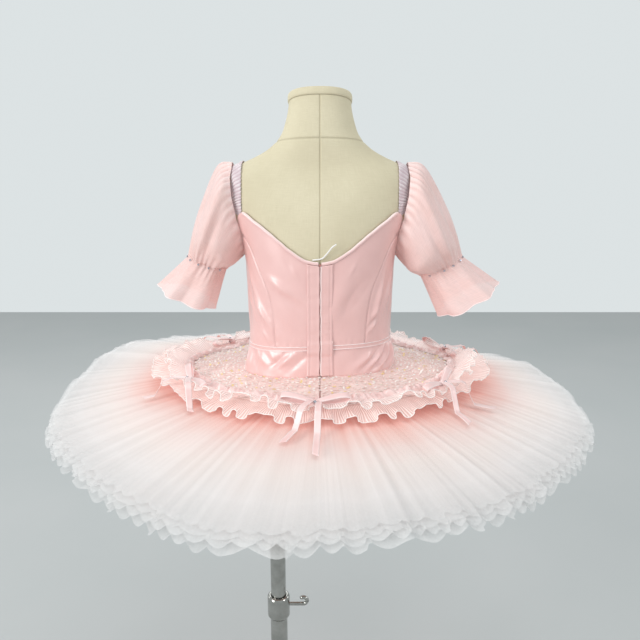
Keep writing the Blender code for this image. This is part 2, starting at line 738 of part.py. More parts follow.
def make_straps():
    steps = 2 * STRAP_RIBS
    angle = np.linspace(-STRAP_END_ANGLE, STRAP_END_ANGLE, steps + 1)[:, None]
    rib = (np.arange(steps + 1) % 2)[:, None] * STRAP_RIB_DEPTH
    x = np.linspace(STRAP_INNER_X, STRAP_OUTER_X, 3)[None, :]
    for side, sign in (("right", 1.0), ("left", -1.0)):
        mirror = np.array([sign, 1.0, 1.0])
        inner = shoulder_spot(x, angle, STRAP_CLEARANCE + rib) * mirror
        outer = shoulder_spot(x, angle, STRAP_CLEARANCE + rib + STRAP_WALL) * mirror
        layer(f"strap_{side}", inner, outer, chiffon())


def sleeve_ring(ring, turns, waves, depth):
    """A closed ring between its outer and inner point, bulged by gathers. Turn 0 is the outer point."""
    a = np.radians(turns)
    outer = np.array([ring.outer_x, 0.0, ring.outer_z])
    inner = np.array([ring.inner_x, 0.0, ring.inner_z])
    centre, reach = (outer + inner) / 2, (outer - inner) / 2
    grow = 1 + ring.gather * depth / np.linalg.norm(reach) * np.cos(waves * a)
    across = np.array([0.0, ring.half_depth, 0.0])
    return centre + (grow * np.cos(a))[:, None] * reach + (grow * np.sin(a))[:, None] * across


def make_sleeves():
    for side, sign in (("right", 1.0), ("left", -1.0)):
        rings = SLEEVE_RINGS[side]
        turns = np.arange(4 * SLEEVE_GATHERS) * (90.0 / SLEEVE_GATHERS) + 45.0 / SLEEVE_GATHERS
        puff = np.array([sleeve_ring(ring, turns, SLEEVE_GATHERS, SLEEVE_GATHER_DEPTH) for ring in rings])
        puff[..., 0] *= sign
        wall(f"sleeve_{side}", np.swapaxes(puff, 0, 1), CHIFFON, chiffon(), round_it=True)

        gather, hem = rings[-1], CUFF_HEM[side]
        turns = np.arange(4 * CUFF_WAVES) * (90.0 / CUFF_WAVES) + 45.0 / CUFF_WAVES
        first = sleeve_ring(gather, turns, CUFF_WAVES, 0.0012)
        last = sleeve_ring(hem, turns, CUFF_WAVES, CUFF_WAVE_DEPTH)
        heading = last.mean(axis=0) - first.mean(axis=0)
        heading /= np.linalg.norm(heading)
        start = first + heading * 0.0016
        share = np.array([0.0, 0.45, 1.0])
        flare = share**0.9
        cuff = start[:, None] + flare[None, :, None] * (last - start)[:, None]
        cuff[..., 0] *= sign
        wall(f"cuff_{side}", cuff, CHIFFON, chiffon(), round_it=True)


# ---------------------------------------------------------------------------------------------------------------
# Skirt: briefs, net layers, decorated plate, frills and ruche
# ---------------------------------------------------------------------------------------------------------------


def hem_radius(layer, turn):
    return layer.reach * smooth_curve(np.mod(turn, 360.0), HEM, "radius")


def hem_z(layer, turn):
    return smooth_curve(np.mod(turn, 360.0), HEM, "z") - layer.drop


def plate_radius(turn):
    return smooth_curve(from_back(turn), PLATE_EDGE, "radius")


def plate_edge_z(turn):
    return PLATE_EDGE_Z + PLATE_TIP * np.cos(np.radians(turn))


def frill_radius(turn):
    return smooth_curve(from_back(turn), PLATE_EDGE, "frill_radius")


def basque_edge_z(turn):
    return waist_z(turn) - BASQUE_HEIGHT


def under_bows(turn):
    """1 away from the bows, falling to a quarter where one presses the frills down."""
    away = np.full(np.shape(turn), 999.0)
    for bow in BOWS:
        away = np.minimum(away, np.abs(np.mod(turn - bow.turn + 180.0, 360.0) - 180.0))
    return 1 - 0.75 * np.exp(-((away / BOW_PRESS_DEGREES) ** 2))


def net_root_z(layer, turn):
    return layer.root_z + NET_ROOT_TIP * np.cos(np.radians(turn))


def net_root_radius(layer, turn):
    return form_radius(net_root_z(layer, turn), turn, BRIEFS_CLEARANCE + SATIN + SEAM_GAP)


def net_height(layer, radius, turn):
    """The height of a layer's middle, without its pleats: it droops towards the hem."""
    root = net_root_radius(layer, turn)
    share = np.clip((radius - root) / (hem_radius(layer, turn) - root), 0, 1)
    start = net_root_z(layer, turn)
    return start + (hem_z(layer, turn) - start) * share**NET_DROOP_POWER


def form_depth(x, z, front, out):
    """The dress form's y at a height, away from its centre plane; front is True for the front face."""
    wide = smooth_curve(z, FORM_SECTIONS, "half_width") + out
    deep = smooth_curve(z, FORM_SECTIONS, "front" if front else "back") + out
    return (-1.0 if front else 1.0) * deep * (1 - np.abs(x / wide) ** OVAL_POWER) ** (1 / OVAL_POWER)


def gusset_face(out):
    """Points of the strip under the form, from the centre back to the centre front."""
    x = np.linspace(-GUSSET_HALF_WIDTH, GUSSET_HALF_WIDTH, 5)
    rows = []
    for z in (CROTCH - SEAM_GAP, 0.6060, FORM_BOTTOM):
        rows.append((form_depth(x, z, False, out), z - out * (0.618 - z) / 0.018))
    for z in (FORM_BOTTOM, 0.6060, CROTCH - SEAM_GAP):
        rows.append((form_depth(x, z, True, out), z - out * (0.618 - z) / 0.018))
    return np.array([[(a, b, z) for a, b in zip(x, y)] for y, z in rows])


def make_briefs():
    """The briefs that carry the net layers, high at the legs, and the gusset strip that joins front to back."""
    turn = (np.arange(FORM_SIDES) * (360.0 / FORM_SIDES))[:, None]
    share = np.array([[0.0, 0.25, 0.5, 0.75, 1.0]])
    top = basque_edge_z(turn) - BRIEFS_TOP_DROP
    low = LEG_TOP - (LEG_TOP - CROTCH) * np.abs(np.cos(np.radians(turn))) ** LEG_CURVE
    on_body("briefs", low + share * (top - low), turn, BRIEFS_CLEARANCE, SATIN, satin(), round_it=True)
    inner, outer = gusset_face(BRIEFS_CLEARANCE), gusset_face(BRIEFS_CLEARANCE + SATIN)
    layer("briefs_gusset", inner, outer, satin())


def make_net():
    for layer in NET_LAYERS:
        turn = (np.arange(NET_SIDES) * (360.0 / NET_SIDES))[:, None]
        fold = np.cos(np.radians(NET_PLEATS * turn))
        share = np.array([layer.rings])
        root = net_root_radius(layer, turn)
        radius = root + share * (hem_radius(layer, turn) - root)
        depth = ROOT_PLEAT_DEPTH + share * (PLEAT_DEPTH - ROOT_PLEAT_DEPTH)
        z = net_height(layer, radius, turn) + fold * depth
        wall(layer.name, spot(radius, turn, z), NET, net(), round_it=True)


def plate_height(share, turn):
    """The plate's height from the basque's edge (share 0) to its own edge (share 1), a little domed."""
    inner, outer = basque_edge_z(turn) - 0.0012, plate_edge_z(turn)
    return inner + (outer - inner) * share + 0.0022 * np.sin(np.pi * share)


def plate_inner_radius(turn):
    return form_radius(basque_edge_z(turn), turn, FORM_CLEARANCE + 0.0004)


def split_turns(steps):
    """Turns round a piece that is open at the centre back."""
    half_gap = 0.25
    return np.linspace(half_gap, 360.0 - half_gap, steps + 1)[:, None]


def make_plate():
    turn = split_turns(72)
    share = np.array([[0.0, 0.5, 1.0]])
    inner = plate_inner_radius(turn)
    radius = inner + share * (plate_radius(turn) - inner)
    wall("lace_plate", spot(radius, turn, plate_height(share, turn)), PLATE_WALL, lace())


def wave(turn, waves, steps_each=4):
    """A flat-topped wave: half of each period up, half down."""
    return np.sqrt(2) * np.cos(np.radians(waves * turn) + math.pi / steps_each)


def lower_frill_height(radius, share, turn):
    """The lower frill's middle: from the plate's edge it falls gently, and rests on the top net layer."""
    on_net = net_height(NET_LAYERS[0], radius, turn) + PLEAT_DEPTH + 0.0018 + 1.42 * FRILL_WAVE_DEPTH * share
    return np.maximum(plate_edge_z(turn) - 0.0008 - 0.0040 * share, on_net)


def make_frills():
    turn = split_turns(4 * FRILL_WAVES)
    share = np.array([[0.0, 0.45, 1.0]])
    inner = plate_radius(turn) + 0.0010
    radius = inner + share * (frill_radius(turn) - inner)
    ripple = FRILL_WAVE_DEPTH * share * under_bows(turn) * wave(turn, FRILL_WAVES)
    wall("frill_lower", spot(radius, turn, lower_frill_height(radius, share, turn) + ripple), CHIFFON, chiffon())

    turn = split_turns(4 * UPPER_FRILL_WAVES)
    share = np.array([[0.0, 1.0]])
    radius = plate_radius(turn) + SEAM_GAP + share * UPPER_FRILL_WIDTH
    press = under_bows(turn)
    ripple = UPPER_FRILL_WAVE_DEPTH * share * press * wave(turn, UPPER_FRILL_WAVES)
    rise = 0.0022 + share * UPPER_FRILL_RISE * press
    wall("frill_upper", spot(radius, turn, plate_edge_z(turn) + rise + ripple), CHIFFON, chiffon())


def make_ruche():
    """The gathered satin ribbon that hides the plate's edge: a puffed strip, highest between its gathers."""
    steps = 2 * RUCHE_PUFFS
    turn = split_turns(steps)[:, 0]
    puff = np.where(np.arange(steps + 1) % 2 == 1, 1.0, 0.72)
    foot = PLATE_WALL / 2 + SEAM_GAP
    corners = [(0.0, foot), (0.18, foot + 0.62 * RUCHE_HEIGHT), (0.5, foot + RUCHE_HEIGHT), (0.84, foot + 0.6 * RUCHE_HEIGHT), (1.0, foot)]
    rings = []
    for across, rise in corners:
        radius = plate_radius(turn) - 0.0012 - RUCHE_WIDTH * (1 - across)
        share = (radius - plate_inner_radius(turn)) / (plate_radius(turn) - plate_inner_radius(turn))
        up = foot + (rise - foot) * puff
        rings.append(spot(radius, turn, plate_height(share, turn) + up))
    closed_shell("ruche", np.stack(rings, axis=1), satin())


# ---------------------------------------------------------------------------------------------------------------
# Bows and the elastic end
# ---------------------------------------------------------------------------------------------------------------


def ribbon_strip(centres, faces, width, thickness):
    """A ribbon as a solid: along its centres, each with the direction its face looks, width across, flat ends."""
    along = np.gradient(centres, axis=0)
    along /= np.linalg.norm(along, axis=1)[:, None]
    across = np.cross(faces, along)
    across /= np.linalg.norm(across, axis=1)[:, None]
    up = np.cross(along, across)
    corner = [(-1, -1), (1, -1), (1, 1), (-1, 1)]
    return np.stack([centres + a * across * width / 2 + b * up * thickness / 2 for a, b in corner], axis=1)


def skirt_top(radius, turn):
    """A height that clears the plate, the ruche, both frills and the top net layer."""
    top_layer = NET_LAYERS[0]
    over_net = net_height(top_layer, radius, turn) + 0.0062
    press, edge = under_bows(turn), plate_edge_z(turn)
    over_upper = edge + 0.0050 + (UPPER_FRILL_RISE + 1.42 * UPPER_FRILL_WAVE_DEPTH) * press
    on_net = net_height(top_layer, radius, turn) + PLEAT_DEPTH + 0.0018 + 1.42 * FRILL_WAVE_DEPTH
    over_lower = np.maximum(edge, on_net) + 0.0020 + 1.42 * FRILL_WAVE_DEPTH * press
    fade_upper = np.clip((plate_radius(turn) + UPPER_FRILL_WIDTH + 0.008 - radius) / 0.006, 0, 1)
    fade_lower = np.clip((frill_radius(turn) + 0.008 - radius) / 0.006, 0, 1)
    return np.maximum(over_net, np.maximum(over_upper * fade_upper, over_lower * fade_lower))


def make_bow(name, turn, left_spread, right_spread, left_reach, right_reach, knot_drop):
    """Two flat loops, two tails that lie out over the skirt, and a knot, joined into one solid."""
    radius = float(plate_radius(np.array(turn))) + 0.003
    knot = spot(radius, turn, float(plate_edge_z(np.array(turn))) + BOW_ABOVE_PLATE)
    out = spot(1.0, turn, 0.0)
    side = spot(1.0, turn + 90.0, 0.0)
    up = np.array([0.0, 0.0, 1.0])
    pieces = []

    t = np.linspace(0, 1, 9)[:, None]
    for sign in (1.0, -1.0):
        reach = sign * side * 0.97 - out * 0.24
        lift = up * 0.9 + out * 0.43
        line = knot + reach * BOW_LOOP_LENGTH * np.sin(np.pi * t) + lift * (
            BOW_LOOP_HEIGHT * np.sin(2 * np.pi * t) + 0.0012 * (1 - 2 * t) + 0.0055 * np.sin(np.pi * t)
        )
        turning = np.gradient(line, axis=0)
        wide = np.cross(reach, lift)
        pieces.append(ribbon_strip(line, np.cross(turning, wide), RIBBON_WIDTH, RIBBON))

    t = np.linspace(0, 1, 36)
    for sign, spread, outward in ((1.0, left_spread, left_reach), (-1.0, right_spread, right_reach)):
        distance = radius + 0.002 + t * BOW_TAIL_LENGTH * outward
        swing = turn + np.degrees(sign * (0.0042 + 0.0010 * t + spread * t * BOW_TAIL_LENGTH) / distance)
        z = np.max([skirt_top(distance, swing + edge) for edge in (-1.6, 0.0, 1.6)], axis=0)
        z = sliding_window_view(np.pad(z, 4, mode="edge"), 9).max(axis=1)
        z = sliding_window_view(np.pad(z, 3, mode="edge"), 7).mean(axis=1)
        distance, swing, z = distance[::5], swing[::5], z[::5]
        line = spot(distance, swing, z)
        pieces.append(ribbon_strip(line, np.tile(up, (len(line), 1)), RIBBON_WIDTH * 0.8, RIBBON))

    work = bmesh.new()
    bmesh.ops.create_cube(work, size=1.0)
    frame = Matrix([[side[i], out[i], up[i]] for i in range(3)]).to_4x4()
    size = Matrix.Diagonal((*BOW_KNOT, 1.0))
    bmesh.ops.transform(work, matrix=Matrix.Translation(knot - knot_drop * up) @ frame @ size, verts=work.verts)
    bmesh.ops.recalc_face_normals(work, faces=work.faces)
    mesh = bpy.data.meshes.new(name)
    work.to_mesh(mesh)
    work.free()
    bow = link(name, mesh, satin())
    for number, rings in enumerate(pieces):
        join(bow, closed_shell(f"{name}_piece_{number}", rings, satin()))


def join(target, other):
    """Unites another closed mesh with target, as a modifier; the other stays hidden."""
    other.hide_render = True
    other.display_type = "WIRE"
    union = target.modifiers.new("join", "BOOLEAN")
    union.operation = "UNION"
    union.object = other


def make_bows():
    for number, bow in enumerate(BOWS, start=1):
        make_bow(f"bow_{number}", *bow)


def make_elastic_end():
    """The loose end of the neckline's elastic, which springs out at the top of the zip."""
    route = [
        (0.0085, 0.9068, 0.0013),
        (0.0040, 0.9073, 0.0015),
        (-0.0020, 0.9085, 0.0020),
        (-0.0060, 0.9120, 0.0030),
        (-0.0100, 0.9172, 0.0042),
        (-0.0140, 0.9225, 0.0056),
        (-0.0180, 0.9255, 0.0064),
    ]
    points = [on_form(z, math.degrees(math.atan2(x, 0.0765)), out) for x, z, out in route]
    make_rod("elastic_end", np.array(points), 0.0009, 6, net())


clear_scene()
make_stand()
make_dress_form()
make_bodice()
make_closure()
make_bindings()
make_basque()
make_straps()
make_sleeves()
make_briefs()
make_net()
make_plate()
make_frills()
make_ruche()
make_bows()
make_elastic_end()
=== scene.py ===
"""A child's ballet tutu on its linen dress form and chrome stand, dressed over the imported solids.

Metres, +Z up, floor at z = 0. The garment's back, with the zip, faces +Y. A turn is an angle in degrees
round the body from the centre back: 90 is the +X side, 180 the front.
"""

import math
from collections import namedtuple

import bmesh
import bpy
import numpy as np
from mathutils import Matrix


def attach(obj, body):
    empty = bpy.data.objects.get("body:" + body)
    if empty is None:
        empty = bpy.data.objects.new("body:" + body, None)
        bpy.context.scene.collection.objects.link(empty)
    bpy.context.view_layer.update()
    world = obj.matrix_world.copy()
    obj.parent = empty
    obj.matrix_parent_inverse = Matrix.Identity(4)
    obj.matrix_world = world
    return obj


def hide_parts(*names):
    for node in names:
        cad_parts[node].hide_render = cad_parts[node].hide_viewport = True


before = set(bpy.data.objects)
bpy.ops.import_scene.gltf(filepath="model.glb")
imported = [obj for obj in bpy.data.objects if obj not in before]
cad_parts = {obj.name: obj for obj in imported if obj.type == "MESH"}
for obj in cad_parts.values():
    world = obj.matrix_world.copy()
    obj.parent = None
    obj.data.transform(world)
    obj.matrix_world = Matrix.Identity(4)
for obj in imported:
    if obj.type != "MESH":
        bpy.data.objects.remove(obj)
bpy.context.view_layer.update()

# ----------------------------------------------------------------------------
# Room: a pale matt floor, a pale even light all round, seven soft light panels and the camera. The
# strongest panels stand behind and to the +X side of the garment, at a window's height


def mesh_object(name, points, faces, material):
    """A smooth-shaded object from points and faces."""
    mesh = bpy.data.meshes.new(name)
    mesh.from_pydata(np.asarray(points).reshape(-1, 3).tolist(), [], faces)
    mesh.shade_smooth()
    mesh.materials.append(material)
    made = bpy.data.objects.new(name, mesh)
    bpy.context.scene.collection.objects.link(made)
    return made


def corner_quads(index):
    """Four corners for each cell of a grid of point numbers."""
    return np.stack([index[:-1, :-1], index[1:, :-1], index[1:, 1:], index[:-1, 1:]], axis=-1).reshape(-1, 4)


def grid_object(name, points, material, facing="away", around=False, cut=None, thickness=0.0):
    """A surface through a grid of points. The faces look away from the upright axis, up, or away from a
    point; around joins the last row to the first; cut is the pattern's (u, v) in metres at each point;
    thickness is added on the inner side."""
    rows, columns = points.shape[:2]
    index = np.arange(rows * columns).reshape(rows, columns)
    if around:
        index = np.vstack([index, index[:1]])
    quads = corner_quads(index)
    flat = points.reshape(-1, 3)
    normal = np.cross(flat[quads[:, 2]] - flat[quads[:, 0]], flat[quads[:, 3]] - flat[quads[:, 1]])
    middle = flat[quads].mean(axis=1)
    if facing == "away":
        hint = middle * [1.0, 1.0, 0.0]
    elif facing == "up":
        hint = np.tile([0.0, 0.0, 1.0], (len(middle), 1))
    else:
        hint = middle - np.array(facing)
    turned_over = (normal * hint).sum() < 0
    if turned_over:
        quads = quads[:, ::-1]
    made = mesh_object(name, flat, quads.tolist(), material)
    if cut is not None:
        if around:
            closing = cut[:1] + (cut[-1:] - cut[:1]) * [rows / (rows - 1), 1.0]
            cut = np.concatenate([cut, closing])
        corners = corner_quads(np.arange(cut.shape[0] * columns).reshape(-1, columns))
        if turned_over:
            corners = corners[:, ::-1]
        layer = made.data.uv_layers.new(name="cut")
        layer.data.foreach_set("uv", cut.reshape(-1, 2)[corners.reshape(-1)].astype(np.float32).reshape(-1))
    if thickness:
        solid = made.modifiers.new("thickness", "SOLIDIFY")
        solid.thickness = thickness
        solid.offset = -1.0
    return made


def make_material(name, values):
    """A new node material, with its tree; values gives inputs of its Principled shader by name."""
    material = bpy.data.materials.new(name)
    material.use_nodes = True
    shader = material.node_tree.nodes["Principled BSDF"]
    for key, value in values.items():
        shader.inputs[key].default_value = value
    return material, material.node_tree


def feed(tree, name, source):
    """Links source to the named input of the material's Principled shader."""
    tree.links.new(source, tree.nodes["Principled BSDF"].inputs[name])


def node(tree, kind, values=None, **settings):
    """Adds a shader node, sets its properties, then the inputs that values gives by name or number."""
    made = tree.nodes.new(kind)
    for key, value in settings.items():
        setattr(made, key, value)
    for key, value in (values or {}).items():
        made.inputs[key].default_value = value
    return made


def ramp(tree, source, stops):
    """The colour of a ramp over stops of (place, colour), fed by source."""
    made = tree.nodes.new("ShaderNodeValToRGB")
    while len(made.color_ramp.elements) < len(stops):
        made.color_ramp.elements.new(0.5)
    for element, (place, colour) in zip(made.color_ramp.elements, stops):
        element.position = place
        element.color = (*colour, 1.0)
    tree.links.new(source, made.inputs["Fac"])
    return made.outputs["Color"]


def map_range(tree, source, low, high, to_low=0.0, to_high=1.0):
    """Source, with low to high stretched to to_low to to_high."""
    values = {"From Min": low, "From Max": high, "To Min": to_low, "To Max": to_high}
    made = node(tree, "ShaderNodeMapRange", values)
    tree.links.new(source, made.inputs["Value"])
    return made.outputs["Result"]


def object_noise(tree, scale, detail, **inputs):
    """Noise over the piece's own object coordinates."""
    place = node(tree, "ShaderNodeTexCoord")
    noise = node(tree, "ShaderNodeTexNoise", {"Scale": scale, "Detail": detail, **inputs})
    tree.links.new(place.outputs["Object"], noise.inputs["Vector"])
    return noise.outputs["Fac"]


floor_material, tree = make_material("floor_paint", {"Roughness": 0.85})
FLOOR_TINTS = [(0.3, (0.49, 0.515, 0.515)), (0.7, (0.53, 0.545, 0.545))]
floor_tint = ramp(tree, object_noise(tree, 1.4, 3.0), FLOOR_TINTS)
feed(tree, "Base Color", floor_tint)
FLOOR_REACH, FLOOR_STEPS, FLOOR_Z = 3.0, 7, -0.0005
side = np.linspace(-FLOOR_REACH, FLOOR_REACH, FLOOR_STEPS)
floor_x, floor_y = np.meshgrid(side, side, indexing="ij")
floor_points = np.stack([floor_x, floor_y, np.full_like(floor_x, FLOOR_Z)], axis=-1)
floor = grid_object("floor", floor_points, floor_material, facing="up")

world = bpy.data.worlds.new("pale_room")
bpy.context.scene.world = world
world.use_nodes = True
backdrop = world.node_tree.nodes["Background"]
backdrop.inputs["Color"].default_value = (0.80, 0.85, 0.86, 1.0)
seen = node(world.node_tree, "ShaderNodeLightPath")
strength = map_range(world.node_tree, seen.outputs["Is Camera Ray"], 0.0, 1.0, 0.70, 0.90)
world.node_tree.links.new(strength, backdrop.inputs["Strength"])


def table(kind, rows):
    """Plain rows as named rows of this kind."""
    return [kind(*row) for row in rows]


Panel = namedtuple("Panel", "name place aim_z size power colour")
WINDOW_LIGHT, WHITE_LIGHT, WALL_LIGHT = (1.0, 0.99, 0.975), (1.0, 1.0, 1.0), (1.0, 0.98, 0.97)
LIGHT_PANELS = table(Panel, [
    ("window_panel", (4.2, 2.75, 2.9), 0.85, 2.0, 100.0, WINDOW_LIGHT),
    ("low_window_panel", (3.5, 3.1, 1.35), 0.85, 1.2, 38.0, WINDOW_LIGHT),
    ("ceiling_panel", (-0.3, 1.2, 3.2), 0.75, 2.0, 18.5, WHITE_LIGHT),
    ("left_rim_panel", (2.7, -1.3, 1.1), 0.85, 1.0, 7.0, WHITE_LIGHT),
    ("right_rim_panel", (-2.7, -1.3, 1.1), 0.85, 1.0, 7.0, WHITE_LIGHT),
    ("wall_panel", (-1.9, 1.0, 1.5), 0.80, 0.42, 4.6, WALL_LIGHT),
    ("far_panel", (0.3, -1.8, 2.2), 0.80, 1.4, 11.0, WHITE_LIGHT),
])
for panel in LIGHT_PANELS:
    light = bpy.data.lights.new(panel.name, "AREA")
    light.size, light.energy, light.color = panel.size, panel.power, panel.colour
    lamp = bpy.data.objects.new(panel.name, light)
    lamp.location = panel.place
    heading = np.array([0.0, 0.0, panel.aim_z]) - panel.place
    level_reach = math.hypot(heading[0], heading[1])
    tip, swing = math.atan2(level_reach, -heading[2]), math.atan2(heading[1], heading[0]) - math.pi / 2
    lamp.rotation_euler = (tip, 0.0, swing)
    bpy.context.scene.collection.objects.link(lamp)

camera_data = bpy.data.cameras.new("camera")
camera_data.sensor_width = 36.0
camera_data.lens = 39.375
camera = bpy.data.objects.new("camera", camera_data)
camera.location = (0.0, 0.88, 1.065)
camera.rotation_euler = (math.radians(74.0), 0.0, math.radians(180.0))
bpy.context.scene.collection.objects.link(camera)
bpy.context.scene.camera = camera
bpy.context.scene.view_settings.view_transform = "Standard"

# ----------------------------------------------------------------------------
# Stand: a weighted disc, a lower tube with a collar, a sliding upper tube and the form's socket, all bright
# chromed steel, turned or drawn, with a bent clamp screw through the collar

POLE_X = 0.061


def unit(vectors):
    """Vectors of the same headings, one metre long."""
    return vectors / np.linalg.norm(vectors, axis=-1)[..., None]


def add_bump(tree, height, strength, distance, normal=None):
    """Raises the surface by height, from its own normal or from the one given."""
    made = node(tree, "ShaderNodeBump", {"Strength": strength, "Distance": distance})
    tree.links.new(height, made.inputs["Height"])
    if normal is not None:
        tree.links.new(normal, made.inputs["Normal"])
    feed(tree, "Normal", made.outputs["Normal"])


chrome_material, tree = make_material("polished_chrome", {"Metallic": 1.0})
chrome_wear = object_noise(tree, 45.0, 5.0, Roughness=0.65)
chrome_rough = map_range(tree, chrome_wear, 0.35, 0.75, 0.10, 0.26)
feed(tree, "Roughness", chrome_rough)
chrome_tone = ramp(tree, chrome_wear, [(0.3, (0.34, 0.34, 0.32)), (0.75, (0.50, 0.50, 0.48))])
feed(tree, "Base Color", chrome_tone)
chrome_place = node(tree, "ShaderNodeTexCoord")
chrome_stretch = node(tree, "ShaderNodeMapping", {"Scale": (900.0, 900.0, 25.0)})
chrome_grain = node(tree, "ShaderNodeTexNoise", {"Scale": 1.0, "Detail": 3.0})
tree.links.new(chrome_place.outputs["Object"], chrome_stretch.inputs["Vector"])
tree.links.new(chrome_stretch.outputs["Vector"], chrome_grain.inputs["Vector"])
add_bump(tree, chrome_grain.outputs["Fac"], 0.06, 0.0002)


def dress(piece, slot_name, *solids, body="form"):
    """The piece stands for these solids, which are hidden, and moves with the body; the slot is not used."""
    if solids:
        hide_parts(*solids)
    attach(piece, body)


def turned_piece(name, profile, sides=72):
    """A closed outline of (radius, z) swept round the pole's axis."""
    outline = np.array([*profile, profile[0]])
    angle = np.arange(sides) * (2 * math.pi / sides)
    x = POLE_X + outline[None, :, 0] * np.sin(angle)[:, None]
    y = outline[None, :, 0] * np.cos(angle)[:, None]
    z = np.broadcast_to(outline[None, :, 1], x.shape)
    made = grid_object(name, np.stack([x, y, z], axis=-1), chrome_material, around=True)
    weld = made.modifiers.new("weld", "WELD")
    weld.merge_threshold = 0.00001
    made.data.set_sharp_from_angle(angle=math.radians(30))
    return made


def rounded(corners, steps=5):
    """An outline with each (radius, z, rounding) corner turned into an arc by a quadratic curve."""
    path = []
    points = np.array([c[:2] for c in corners])
    for i, (r, z, rounding) in enumerate(corners):
        here = np.array([r, z])
        if rounding == 0:
            path.append(tuple(here))
            continue
        before, after = points[i - 1] - here, points[(i + 1) % len(points)] - here
        start, end = here + unit(before) * rounding, here + unit(after) * rounding
        for t in np.linspace(0, 1, steps):
            path.append(tuple((1 - t) ** 2 * start + 2 * t * (1 - t) * here + t * t * end))
    return path


# each turned piece's name, the solid it stands for, the body it moves with, and its outline's corners
TURNED_PIECES = [
    ("base_disc", "stand_base", "stand", [
        (0.0001, 0, 0), (0.15, 0, 0.0012), (0.15, 0.0055, 0.002), (0.147, 0.0066, 0.001),
        (0.0262, 0.009, 0.002), (0.0225, 0.012, 0.002), (0.0205, 0.0275, 0.0012), (0.0128, 0.0275, 0.0004),
        (0.0128, 0.004, 0), (0.0001, 0.004, 0),
    ]),
    ("lower_tube", "stand_lower_tube", "stand", [
        (0.0113, 0.0043, 0), (0.0125, 0.0043, 0), (0.0125, 0.3873, 0), (0.0122, 0.3875, 0),
        (0.0113, 0.3875, 0),
    ]),
    ("clamp_collar", "stand_collar", "stand", [
        (0.0128, 0.355, 0.0003), (0.0133, 0.355, 0.0003), (0.0163, 0.3592, 0.0008), (0.0163, 0.39, 0.0012),
        (0.0145, 0.3926, 0.0008), (0.0133, 0.393, 0.0003), (0.0117, 0.393, 0.0003), (0.0117, 0.3878, 0),
        (0.0128, 0.3878, 0),
    ]),
    ("upper_tube", "form_pole", "mast", [
        (0.0095, 0.1600, 0), (0.0110, 0.1600, 0), (0.0110, 0.5920, 0), (0.0095, 0.5920, 0),
    ]),
    ("form_socket_ring", "form_socket", "form", [
        (0.0001, 0.5997, 0), (0.0001, 0.5923, 0), (0.0113, 0.5923, 0), (0.0113, 0.5600, 0.0004),
        (0.015, 0.56, 0.001), (0.0156, 0.5885, 0.0015), (0.0195, 0.593, 0.002), (0.0305, 0.5945, 0.001),
        (0.0305, 0.5997, 0.0008),
    ]),
]
for name, solid, body, corners in TURNED_PIECES:
    dress(turned_piece(name, rounded(corners)), "chrome", solid, body=body)


def cord_object(name, line, radius, material, sides=10, closed=False):
    """A round cord along a line of points: each ring of the mesh stands square to the line at its radius.
    An open cord ends in a rounded tip; a closed one joins its last ring to its first."""
    line = np.asarray(line, float)
    size = np.broadcast_to(np.asarray(radius, float), (len(line),)).copy()
    if closed:
        along = np.roll(line, -1, axis=0) - np.roll(line, 1, axis=0)
    else:
        along = np.gradient(line, axis=0)
    along = unit(along)
    up = np.where(np.abs(along[:, 2:3]).mean() > 0.8, [[0.0, 1.0, 0.0]], [[0.0, 0.0, 1.0]])
    side = unit(np.cross(along, up))
    over = np.cross(side, along)
    if not closed:
        reach, shrink = np.array([1.0, 0.7]), np.array([0.05, 0.72])
        first = line[0] - along[0] * (size[0] * reach)[:, None]
        last = line[-1] + along[-1] * (size[-1] * reach[::-1])[:, None]
        line = np.concatenate([first, line, last])
        size = np.concatenate([size[0] * shrink, size, size[-1] * shrink[::-1]])
        side = np.concatenate([side[[0, 0]], side, side[[-1, -1]]])
        over = np.concatenate([over[[0, 0]], over, over[[-1, -1]]])
    angle = (np.arange(sides) * (2 * math.pi / sides))[:, None, None]
    rings = line[None] + size[None, :, None] * (np.cos(angle) * side[None] + np.sin(angle) * over[None])
    index = np.arange(sides * len(line)).reshape(sides, len(line))
    index = np.vstack([index, index[:1]])
    if closed:
        index = np.hstack([index, index[:, :1]])
    faces = corner_quads(index).tolist()
    if not closed:
        faces += [index[:-1, 0][::-1].tolist(), index[:-1, -1].tolist()]
    return mesh_object(name, rings.reshape(-1, 3), faces, material)


SCREW_Z, SCREW_BEND, SCREW_BEND_X, SCREW_RADIUS = 0.3765, 0.0055, 0.0247, 0.0029
screw_line = [(x, 0.0, SCREW_Z) for x in (0.0497, 0.0470, 0.0400, 0.0330, SCREW_BEND_X)]
for turn in np.radians(np.linspace(-90.0, -295.0, 18)[1:]):
    bend_x, bend_z = SCREW_BEND_X + SCREW_BEND * math.cos(turn), SCREW_Z + SCREW_BEND * (1 + math.sin(turn))
    screw_line.append((bend_x, 0.0, bend_z))
clamp_screw = cord_object("bent_clamp_screw", screw_line, SCREW_RADIUS, chrome_material, sides=20)
dress(clamp_screw, "chrome", "clamp_screw", body="clamp")

# ----------------------------------------------------------------------------
# Dress form: a shaped body covered in cream linen, cut in panels that meet at the centre back, the centre
# front, the sides and the foot of the neck, with a padded linen cap sewn over the top of the neck

